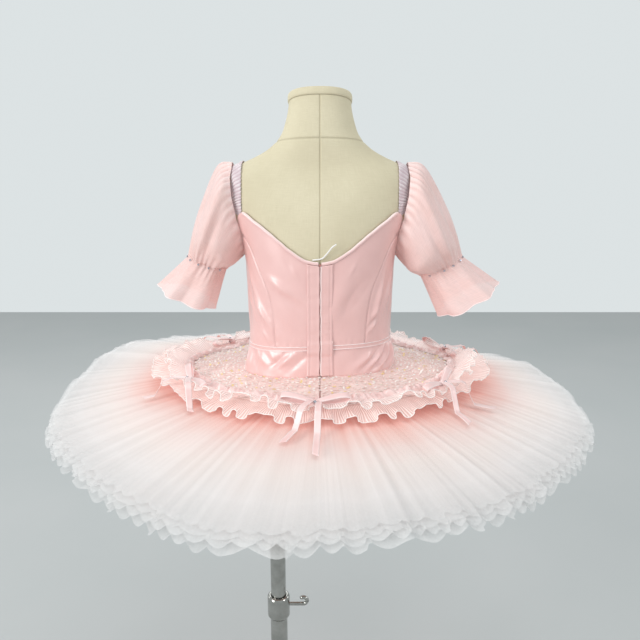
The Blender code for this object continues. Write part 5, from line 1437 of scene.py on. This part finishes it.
# sprigs dotted over the net, then the veins that join them: scale, unevenness, kind, where the thread is
# whole and where it ends, and its weight
LACE_STITCHES = [
    (150.0, 0.85, "SMOOTH_F1", 0.22, 0.42, 0.75),
    (60.0, 1.0, "DISTANCE_TO_EDGE", 0.02, 0.10, 0.55),
]
lace_stitches = []
for scale, randomness, feature, full, none, weight in LACE_STITCHES:
    distance = cell_distance(tree, lace_cut, scale, randomness, feature)
    stitch = map_range(tree, distance, full, none, 1.0, 0.0)
    lace_stitches.append(maths(tree, "MULTIPLY", stitch, weight))
lace_thread = maths(tree, "MAXIMUM", *lace_stitches)
LACE_TINTS = [(0.3, (0.89, 0.65, 0.61)), (0.7, (0.93, 0.725, 0.685))]
lace_base = ramp(tree, object_noise(tree, 45.0, 3.0), LACE_TINTS)
lace_colour = mixed(tree, lace_thread, lace_base, (0.92, 0.74, 0.69))
feed(tree, "Base Color", lace_colour)
add_bump(tree, lace_thread, 0.5, 0.0006)


def split_turns(steps, gap=0.25):
    """Turns round a piece that is open at the centre back."""
    return np.linspace(gap, 360.0 - gap, steps + 1)[:, None]


turn = split_turns(450)
share = np.linspace(0, 1, 27)[None, :]
radius = plate_inner_radius(turn) + share * (plate_radius(turn) - plate_inner_radius(turn))
points = spot(radius, turn, plate_height(share, turn) + 0.0003 + rumple(radius, turn, share))
plate_cut = cut_of(np.radians(turn) * radius, radius)
plate = grid_object("embroidered_plate", points, lace_material, facing="up", cut=plate_cut, thickness=0.0008)
dress(plate, "sequinned_lace", "lace_plate")

SEQUIN_TINTS = [
    (0.0, (0.93, 0.76, 0.71)), (0.35, (0.96, 0.86, 0.80)), (0.60, (0.98, 0.93, 0.89)),
    (0.78, (0.95, 0.82, 0.79)), (0.88, (0.96, 0.89, 0.74)), (0.97, (0.95, 0.76, 0.32)),
]
SEQUIN_ROUGHNESS = [(0.0, (0.45,) * 3), (0.9, (0.25,) * 3)]
SEQUIN_FINISH = {"Coat Weight": 0.15, "Coat Roughness": 0.2}
sequin_material, tree = make_material("pearly_sequins", SEQUIN_FINISH)
sequin_tint = point_number(tree, "tint")
for stops, socket in ((SEQUIN_TINTS, "Base Color"), (SEQUIN_ROUGHNESS, "Roughness")):
    feed(tree, socket, ramp(tree, sequin_tint, stops))

# sequins in rows out from the basque, each row and each place in it a little off, with some places empty
ROW_PITCH, SEQUIN_PITCH, SEQUIN_SIDES = 0.0047, 0.0058, 7
chance = np.random.default_rng(121)
spots = []
for row in np.arange(0.0035, 0.110, ROW_PITCH):
    around = np.arange(0.8, 359.2, math.degrees(SEQUIN_PITCH / (0.088 + row)))
    around = around + chance.normal(0, 0.45, len(around))
    radius = plate_inner_radius(around) + row + chance.normal(0, 0.0006, len(around))
    keep = (radius < plate_radius(around) - 0.0135) & (chance.random(len(around)) < 0.85)
    spots.append(np.stack([around, radius], axis=-1)[keep])
sequin_turn, sequin_radius = np.concatenate(spots).T
share = plate_share(sequin_radius, sequin_turn)
sequin_z = plate_height(share, sequin_turn) + 0.0010 + rumple(sequin_radius, sequin_turn, share)
centre = spot(sequin_radius, sequin_turn, sequin_z)
count = len(centre)
tilt = chance.normal(0, 0.16, (count, 2))
size = chance.uniform(0.0013, 0.0020, count)
corners = np.radians(np.arange(SEQUIN_SIDES) * (360 / SEQUIN_SIDES))[None, :]
turned = (chance.normal(0, 0.5, count) - np.radians(sequin_turn))[:, None]
long_way, short_way = 1.35 * size[:, None] * np.cos(corners), 0.75 * size[:, None] * np.sin(corners)
flat_x = long_way * np.cos(turned) - short_way * np.sin(turned)
flat_y = long_way * np.sin(turned) + short_way * np.cos(turned)
rim = np.stack([flat_x, flat_y, flat_x * tilt[:, :1] + flat_y * tilt[:, 1:]], axis=-1) + centre[:, None]
cup = centre[:, None] + [0.0, 0.0, 0.00055]
cup_faces = [[corner, (corner + 1) % SEQUIN_SIDES, SEQUIN_SIDES] for corner in range(SEQUIN_SIDES)]
sequin_faces = repeated_faces(cup_faces, SEQUIN_SIDES + 1, count)
sequins = mesh_object("plate_sequins", np.concatenate([rim, cup], axis=1), sequin_faces, sequin_material)
clusters = ripples(np.radians(sequin_turn) * 0.13, sequin_radius, 131, 6, 0.05, 0.02)
yellow = chance.random(count) < 0.05 + 0.16 * (clusters > 0.45)
tints = np.where(yellow, 1.0, chance.uniform(0, 0.86, count))
paint(sequins, "tint", np.repeat(tints, SEQUIN_SIDES + 1))
dress(sequins, "sequinned_lace")
declare_cloth(plate, 0.38, 0.34, "laid", ["tulle_top", "satin_briefs"], [sequins])

# ----------------------------------------------------------------------------
# Frills: two frills of accordion-pleated organza round the plate, the lower one lying out on the net, the
# upper one standing up against the ruche; each ends in a fine cream picot edge that ripples up and down

BOW_TURNS = [2.0, 67.0, 134.0, 184.0, 246.0, 300.0]
WAVE_OVERHANG, LOWER_FRILL_WAVE = 1.42, 0.0034
# the organza also glows faintly pink: painted light, standing in for light that passes through it
ORGANZA_FINISH_AND_GLOW = {
    "Roughness": 0.55, "Sheen Weight": 0.15, "Emission Color": (1.0, 0.76, 0.72, 1.0),
    "Emission Strength": 0.13,
}


def under_bows(turn):
    """1 away from the bows, falling to a quarter where one presses the frills down."""
    away = np.min([np.abs(np.mod(turn - bow + 180.0, 360.0) - 180.0) for bow in BOW_TURNS], axis=0)
    return 1 - 0.75 * bell(away, 9.0)


def lower_frill_height(radius, share, turn):
    """From the plate's edge the frill falls gently, and rests on the top layer of net."""
    net_top = net_height(NET_LAYERS[0], radius, turn) + PLEAT_DEPTH + 0.0018
    falling = plate_edge_z(turn) - 0.0008 - 0.0040 * share
    return np.maximum(falling, net_top + WAVE_OVERHANG * LOWER_FRILL_WAVE * share)


def make_organza(name, light, shade, line, alpha, pleat):
    """Organza set in accordion pleats: fine lines along its length, one every pleat metres round the cut,
    each a crease painted toward the line colour as a painted highlight, and denser, beside a sheer hollow."""
    material, tree = make_material(name, ORGANZA_FINISH_AND_GLOW)
    cut = node(tree, "ShaderNodeUVMap", uv_map="cut").outputs["UV"]
    cloud = object_noise(tree, 40.0, 3.0)
    wander = maths(tree, "MULTIPLY", cloud, 5.0)
    crease = maths(tree, "SINE", maths(tree, "ADD", cut_turns(tree, cut, 0, pleat), wander), 0.0)
    share = map_range(tree, crease, -0.2, 0.9, 0.0, 0.75)
    base = ramp(tree, cloud, [(0.3, shade), (0.7, light)])
    feed(tree, "Base Color", mixed(tree, share, base, line))
    dense = maths(tree, "ADD", maths(tree, "MULTIPLY", share, 0.35), alpha)
    feed(tree, "Alpha", maths(tree, "MINIMUM", dense, 1.0))
    add_bump(tree, crease, 0.3, 0.0005, evened_normal(tree, 0.45))
    return material


# the third colour of each organza is its creases' painted highlight
organza_material = make_organza(
    "pleated_organza", (0.96, 0.76, 0.71), (0.95, 0.70, 0.65), (1.0, 0.93, 0.90), 0.70, 0.0026
)
pale_organza_material = make_organza(
    "crisp_pale_organza", (0.96, 0.79, 0.75), (0.95, 0.74, 0.70), (1.0, 0.94, 0.92), 0.60, 0.0021
)
picot_material = make_chiffon("cream_picot_edge", (0.98, 0.94, 0.91), (0.97, 0.90, 0.87), 1.0, 2000.0)


def petal_lift(turn):
    """How far the frills' outer edges stand up at the two sides of the skirt."""
    return 0.0125 * bell(from_back(turn) - 95.0, 20.0)


def sew_frill(place, points, material, cut, picot_radius, flat, rests_on):
    """A frill from a grid of points whose last column is its outer edge, with the picot along that edge."""
    made = grid_object(f"organza_frill_{place}", points, material, facing="up", cut=cut)
    dress(made, "pink_chiffon", f"frill_{place}")
    picot = cord_object(f"picot_edge_{place}", points[:, -1], picot_radius, picot_material, sides=5)
    dress(picot, "pink_chiffon")
    declare_cloth(made, *flat, "gathered", [rests_on], [picot])


turn = split_turns(1700)
press = under_bows(turn)
share = np.linspace(0, 1, 18)[None, :]
start_radius = plate_radius(turn) - 0.0015
scallop = gathers(turn, 141, 32, 1.3, 2.0)
small = gathers(turn, 142, 83, 2.4, 1.4)
width = frill_radius(turn) - 0.0010 - start_radius
radius = start_radius + share * (width - share * (0.0026 * scallop * (0.4 + 0.6 * press) - 0.0008 * small))
height = lower_frill_height(radius, share, turn) - 0.0022 * share**2 + petal_lift(turn) * share**1.6
height = height + share**1.3 * (0.35 + 0.65 * press) * (0.0037 * scallop + 0.0008 * small)
height = height + 0.0012 * share * ripples(np.radians(turn) * 0.2, radius, 143, 9, 0.03, 0.01)
on_net = net_height(NET_LAYERS[0], radius, turn) + 0.0034
height = np.maximum(height, on_net + 0.3 * (height - on_net))
points = spot(radius, turn + 0.45 * share**2 * fold_back(turn, 141, 32, 1.3), height)
frill_cut = cut_of(np.radians(turn) * 0.20, share * 0.045)
sew_frill("lower", points, organza_material, frill_cut, 0.00055, (1.75, 0.046), "tulle_top")

share = np.linspace(0, 1, 16)[None, :]
start_radius = plate_radius(turn) - 0.0030
curl = gathers(turn, 151, 36, 1.7, 2.0)
crisp = gathers(turn, 152, 91, 3.2, 1.3)
wave = np.clip(np.sqrt(2) * np.cos(np.radians(12 * turn) + math.pi / 4), -1, 1)
width = 0.0033 + 0.0215 * (0.80 + 0.20 * press) - 0.0028 * curl * (0.4 + 0.6 * press)
radius = start_radius + share * width + 0.0012 * share * crisp
rise = 0.0012 + 0.0014 * np.clip(share / 0.14, 0, 1) + share * 0.0078 * press
rise = rise + 0.0026 * share * press * wave + petal_lift(turn) * share * 0.6
rise = rise + share * (0.4 + 0.6 * press) * (0.0038 * curl + 0.0010 * crisp)
rise = rise + 0.0016 * np.sin(np.pi * share) * press
rise = rise + 0.0016 * share * ripples(np.radians(turn) * 0.17, radius, 153, 9, 0.025, 0.008)
points = spot(radius, turn + 0.5 * share**2 * fold_back(turn, 151, 36, 1.7), plate_edge_z(turn) + rise)
frill_cut = cut_of(np.radians(turn) * 0.19, share * 0.030)
sew_frill("upper", points, pale_organza_material, frill_cut, 0.0006, (1.60, 0.030), "organza_frill_lower")

# ----------------------------------------------------------------------------
# Ruche: a satin ribbon drawn up along both edges into plump uneven puffs, and sewn over the plate's edge,
# where it hides the gathered edges of the two frills

# its last colour is the painted highlight on the ribbon's edges and creases
ruche_material = make_satin("ruched_satin_ribbon", (0.93, 0.69, 0.66), (0.89, 0.60, 0.57), (0.97, 0.86, 0.83))
RUCHE_WIDTH, RUCHE_HEIGHT, RUCHE_FOOT = 0.0140, 0.0055, 0.0008
turn = split_turns(1200)
across = np.linspace(0, 1, 15)[None, :]
puffs = 0.5 - 0.5 * gathers(turn, 161, 43, 2.4)
creases = gathers(turn + 1.6 * across, 162, 118, 3.4, 1.2)
dome = np.sin(np.pi * across) ** 0.75
off_middle = 2 * across - 1
edge_swing = 0.0022 * gathers(turn, 163, 47, 2.0) * off_middle * (0.4 + 0.6 * np.abs(off_middle))
radius = plate_radius(turn) - 0.0012 - RUCHE_WIDTH * (1 - across) + edge_swing
share = np.clip(plate_share(radius, turn), 0, 1)
crumple = 0.0016 * ripples(np.radians(turn) * 0.16, radius, 164, 14, 0.024, 0.008)
plump = RUCHE_HEIGHT * (0.42 + 0.72 * puffs) * (0.72 + 0.28 * under_bows(turn)) + 0.0009 * creases + crumple
points = spot(radius, turn, plate_height(share, turn) + RUCHE_FOOT + dome * plump)
ruche_cut = cut_of(np.radians(turn) * 0.16, across * 0.016)
ruche = grid_object("ruched_ribbon", points, ruche_material, facing="up", cut=ruche_cut, thickness=0.0004)
# the ribbon's two edges and the crests of its creases are painted toward the edge colour: painted highlights
paint(ruche, "edge", 0.8 * bell(np.minimum(across, 1 - across), 0.07) + 0.25 * np.clip(creases, 0, 1))
dress(ruche, "pink_satin", "ruche")
declare_cloth(ruche, 1.55, 0.018, "gathered", ["embroidered_plate"])

# ----------------------------------------------------------------------------
# Bows: six bows of narrow pale satin ribbon round the plate's edge, each with two flat loops, two tails cut
# on the slant that lie out over the frills, a wrapped knot and a small faceted crystal

# how far the two tails spread apart and reach out, and how low the knot sits
Bow = namedtuple("Bow", "turn left_spread right_spread left_reach right_reach knot_drop")
BOWS = table(Bow, [
    (BOW_TURNS[0], 0.50, -0.03, 1.0, 1.35, 0.0018),
    (BOW_TURNS[1], 0.40, 0.90, 1.0, 0.35, 0.0011),
    (BOW_TURNS[2], 0.20, 0.20, 1.0, 1.0, 0.0018),
    (BOW_TURNS[3], 0.25, 0.25, 1.0, 1.0, 0.0011),
    (BOW_TURNS[4], 0.20, 0.20, 1.0, 1.0, 0.0011),
    (BOW_TURNS[5], 0.55, 0.45, 0.9, 1.0, 0.0011),
])
RIBBON_WIDTH, LOOP_LENGTH, LOOP_HEIGHT, TAIL_WIDTH, TAIL_LENGTH = 0.0090, 0.0400, 0.0042, 0.0072, 0.0560
UPPER_FRILL_WIDTH, UPPER_FRILL_RISE, UPPER_FRILL_WAVE = 0.0225, 0.0085, 0.0030

# its last colour is the painted highlight on the ribbon's edges
ribbon_material = make_satin("pale_satin_ribbon", (0.94, 0.70, 0.68), (0.91, 0.61, 0.59), (0.98, 0.87, 0.86))


def skirt_top(radius, turn):
    """A height that clears the plate, the ruche, both frills and the top layer of net."""
    net_top = net_height(NET_LAYERS[0], radius, turn)
    press, edge = under_bows(turn), plate_edge_z(turn)
    over_upper = edge + 0.0050 + (UPPER_FRILL_RISE + WAVE_OVERHANG * UPPER_FRILL_WAVE) * press
    on_net = net_top + PLEAT_DEPTH + 0.0018 + WAVE_OVERHANG * LOWER_FRILL_WAVE
    over_lower = np.maximum(edge, on_net) + 0.0020 + WAVE_OVERHANG * LOWER_FRILL_WAVE * press
    fade_upper = np.clip((plate_radius(turn) + UPPER_FRILL_WIDTH + 0.008 - radius) / 0.006, 0, 1)
    fade_lower = np.clip((frill_radius(turn) + 0.008 - radius) / 0.006, 0, 1)
    return np.maximum(net_top + 0.0062, np.maximum(over_upper * fade_upper, over_lower * fade_lower))


def within(values, reach, gather):
    """At each step, gather (such as np.max) over the values within reach steps on either side."""
    padded = np.pad(values, reach, mode="edge")
    return gather([padded[i : i + len(values)] for i in range(2 * reach + 1)], axis=0)


RIBBON_ACROSS = np.linspace(-1, 1, 7)


def ribbon_piece(name, line, faces, width, cup, flat, slant=0.0):
    """A ribbon along a line: its width lies across it, at right angles to the way its face looks; cup lifts
    its edges and slant draws one corner of its far end back. Flat is its cut's width and length."""
    along = unit(np.gradient(line, axis=0))
    across = unit(np.cross(faces, along))
    up = np.cross(along, across)
    half = (np.broadcast_to(width, (len(line),)) / 2)[:, None, None]
    points = line[:, None] + RIBBON_ACROSS[None, :, None] * across[:, None] * half
    points = points + up[:, None] * (cup * RIBBON_ACROSS**2)[None, :, None]
    toward_end = np.clip(np.linspace(-3, 1, len(line)), 0, 1)[:, None, None]
    points = points - along[:, None] * toward_end * slant * (RIBBON_ACROSS[None, :, None] + 1) / 2
    cut = cut_of(np.linspace(0, flat[0], 7)[None, :], np.linspace(0, 1, len(line))[:, None] * flat[1])
    made = grid_object(name, points, ribbon_material, facing="up", cut=cut)
    # the ribbon's lifted edges are painted toward the edge colour: a painted highlight
    paint(made, "edge", np.tile(0.8 * bell(1 - np.abs(RIBBON_ACROSS), 0.25), (len(line), 1)))
    return made


# cells of bright and dark reflectance over each stone: painted glints and dark reflections
CRYSTAL_GLINT_TINTS = [(0.2, (0.88, 0.90, 0.93)), (0.6, (0.42, 0.43, 0.50))]
CRYSTAL_FINISH = {"Metallic": 0.85, "Roughness": 0.08}
crystal_material, tree = make_material("faceted_crystal", CRYSTAL_FINISH)
crystal_place = node(tree, "ShaderNodeTexCoord")
crystal_spark = node(tree, "ShaderNodeTexVoronoi", {"Scale": 700.0})
tree.links.new(crystal_place.outputs["Object"], crystal_spark.inputs["Vector"])
crystal_glint_tint = ramp(tree, crystal_spark.outputs["Distance"], CRYSTAL_GLINT_TINTS)
feed(tree, "Base Color", crystal_glint_tint)

STONE_SIDES = 8
STONE_PROFILE = [(1.0, 0.0), (1.0, 0.25), (0.55, 0.75)]


def crystals(name, places, normals, size):
    """Cut stones at these places, each facing its normal: a flat top, a sloping crown and a flat back."""
    ring = np.arange(STONE_SIDES)
    a = ring * 2 * np.pi / STONE_SIDES
    levels = [np.stack([r * np.cos(a), r * np.sin(a), h + 0 * a], axis=-1) for r, h in STONE_PROFILE]
    local = np.concatenate(levels)
    facing = unit(np.asarray(normals, float))[:, None]
    first = unit(np.cross(facing, [0.31, 0.52, 0.79]))
    second = np.cross(facing, first)
    shape = local[:, :1] * first + local[:, 1:2] * second + local[:, 2:] * facing
    sides = corner_quads(np.arange(3 * STONE_SIDES).reshape(3, STONE_SIDES)[:, [*ring, 0]].T).tolist()
    flats = [(ring + 2 * STONE_SIDES).tolist(), ring[::-1].tolist()]
    faces = repeated_faces([*sides, *flats], len(local), len(shape))
    made = mesh_object(name, np.asarray(places)[:, None] + size * shape, faces, crystal_material)
    made.data.shade_flat()
    dress(made, "chrome")
    return made


for number, bow in enumerate(BOWS, start=1):
    radius = float(plate_radius(np.array(bow.turn))) + 0.0080
    knot = spot(radius, bow.turn, float(plate_edge_z(np.array(bow.turn))) + 0.0076)
    out, side, up = spot(1.0, bow.turn, 0.0), spot(1.0, bow.turn + 90.0, 0.0), np.array([0.0, 0.0, 1.0])
    lift = up * 0.9 + out * 0.43
    parts = []
    t = np.linspace(0, 1, 49)[:, None]
    rise = LOOP_HEIGHT * np.sin(2 * np.pi * t) + 0.0012 * (1 - 2 * t) + 0.0055 * np.sin(np.pi * t)
    width = RIBBON_WIDTH * (0.55 + 0.45 * np.sin(np.pi * np.clip(t[:, 0], 0, 1)) ** 0.6)
    for sign in (1.0, -1.0):
        reach = sign * side * 0.97 - out * 0.24
        line = knot + reach * LOOP_LENGTH * np.sin(np.pi * t) + lift * rise
        faces = np.cross(np.gradient(line, axis=0), np.cross(reach, lift))
        parts.append(ribbon_piece("bow_loop", line, faces, width, 0.0004, (RIBBON_WIDTH, 0.085)))
    t = np.linspace(0, 1, 36)
    tails = ((1.0, bow.left_spread, bow.left_reach), (-1.0, bow.right_spread, bow.right_reach))
    for sign, spread, outward in tails:
        distance = radius + 0.002 + t * TAIL_LENGTH * outward
        swing = bow.turn + np.degrees(sign * (0.0042 + 0.0010 * t + spread * t * TAIL_LENGTH) / distance)
        z = np.max([skirt_top(distance, swing + edge) for edge in (-1.6, 0.0, 1.6)], axis=0)
        z = within(within(z, 4, np.max), 3, np.mean) + 0.0006 * np.sin(t * 9 + number + sign)
        line, faces = spot(distance, swing, z), np.tile(up, (len(t), 1))
        slant = sign * 0.0045
        parts.append(ribbon_piece("bow_tail", line, faces, TAIL_WIDTH, 0.0003, (TAIL_WIDTH, 0.065), slant))
    around, along = np.radians(np.arange(0, 360, 15.0))[:, None], np.linspace(-1, 1, 11)[None, :]
    belly = np.sqrt(np.clip(1 - 0.80 * along**2, 0, 1)) * (1 + 0.06 * np.cos(5 * around + 2 * along))
    middle = knot - bow.knot_drop * up
    wrap = (
        middle
        + along[..., None] * side * 0.0039
        + (np.cos(around) * belly)[..., None] * out * 0.0056
        + (np.sin(around) * belly)[..., None] * up * 0.0046
    )
    wrap_cut = cut_of(around * 0.006, along * 0.004)
    wrapped = grid_object("bow_wrap", wrap, ribbon_material, facing=tuple(middle), around=True, cut=wrap_cut)
    # the knot's two ends are painted toward the edge colour: a painted highlight
    paint(wrapped, "edge", 0.5 * bell(1 - np.abs(along), 0.2) + 0 * around)
    made = join_meshes(f"ribbon_bow_{number}", [*parts, wrapped])
    solid = made.modifiers.new("thickness", "SOLIDIFY")
    solid.thickness, solid.offset = 0.0004, 0.0
    dress(made, "pink_satin", f"bow_{number}")
    stone_place, stone_normal = middle + out * 0.0040 + up * 0.0040, out * 0.5 + up * 0.9
    stone = crystals(f"bow_crystal_{number}", [stone_place], [stone_normal], 0.0021)
    declare_cloth(made, 0.0110, 0.36, "folded", ["organza_frill_lower", "ruched_ribbon"], [stone])

# ----------------------------------------------------------------------------
# Crystals: small hot-fixed stones, eight on each sleeve, in a ring just below the elastic that gathers the
# puff above its cuff

CRYSTAL_TURNS = {
    "right": (8, 42, 74, 104, 140, 220, 262, 300),
    "left": (12, 38, 66, 92, 132, 215, 258, 305),
}
BELOW_ELASTIC = 0.03 * np.array([0.04, 0.0, -0.045])
for side, sign in (("right", 1.0), ("left", -1.0)):
    ring, mirror = SLEEVE_RINGS[side][-1], np.array([sign, 1.0, 1.0])
    a = np.radians(np.array(CRYSTAL_TURNS[side], float))
    places = sleeve_points(ring, a, 0.0016 + 0 * a)
    middle = np.array([ring.outer_x + ring.inner_x, 0.0, ring.outer_z + ring.inner_z]) / 2
    crystals(f"sleeve_crystals_{side}", (places + BELOW_ELASTIC) * mirror, (places - middle) * mirror, 0.0016)
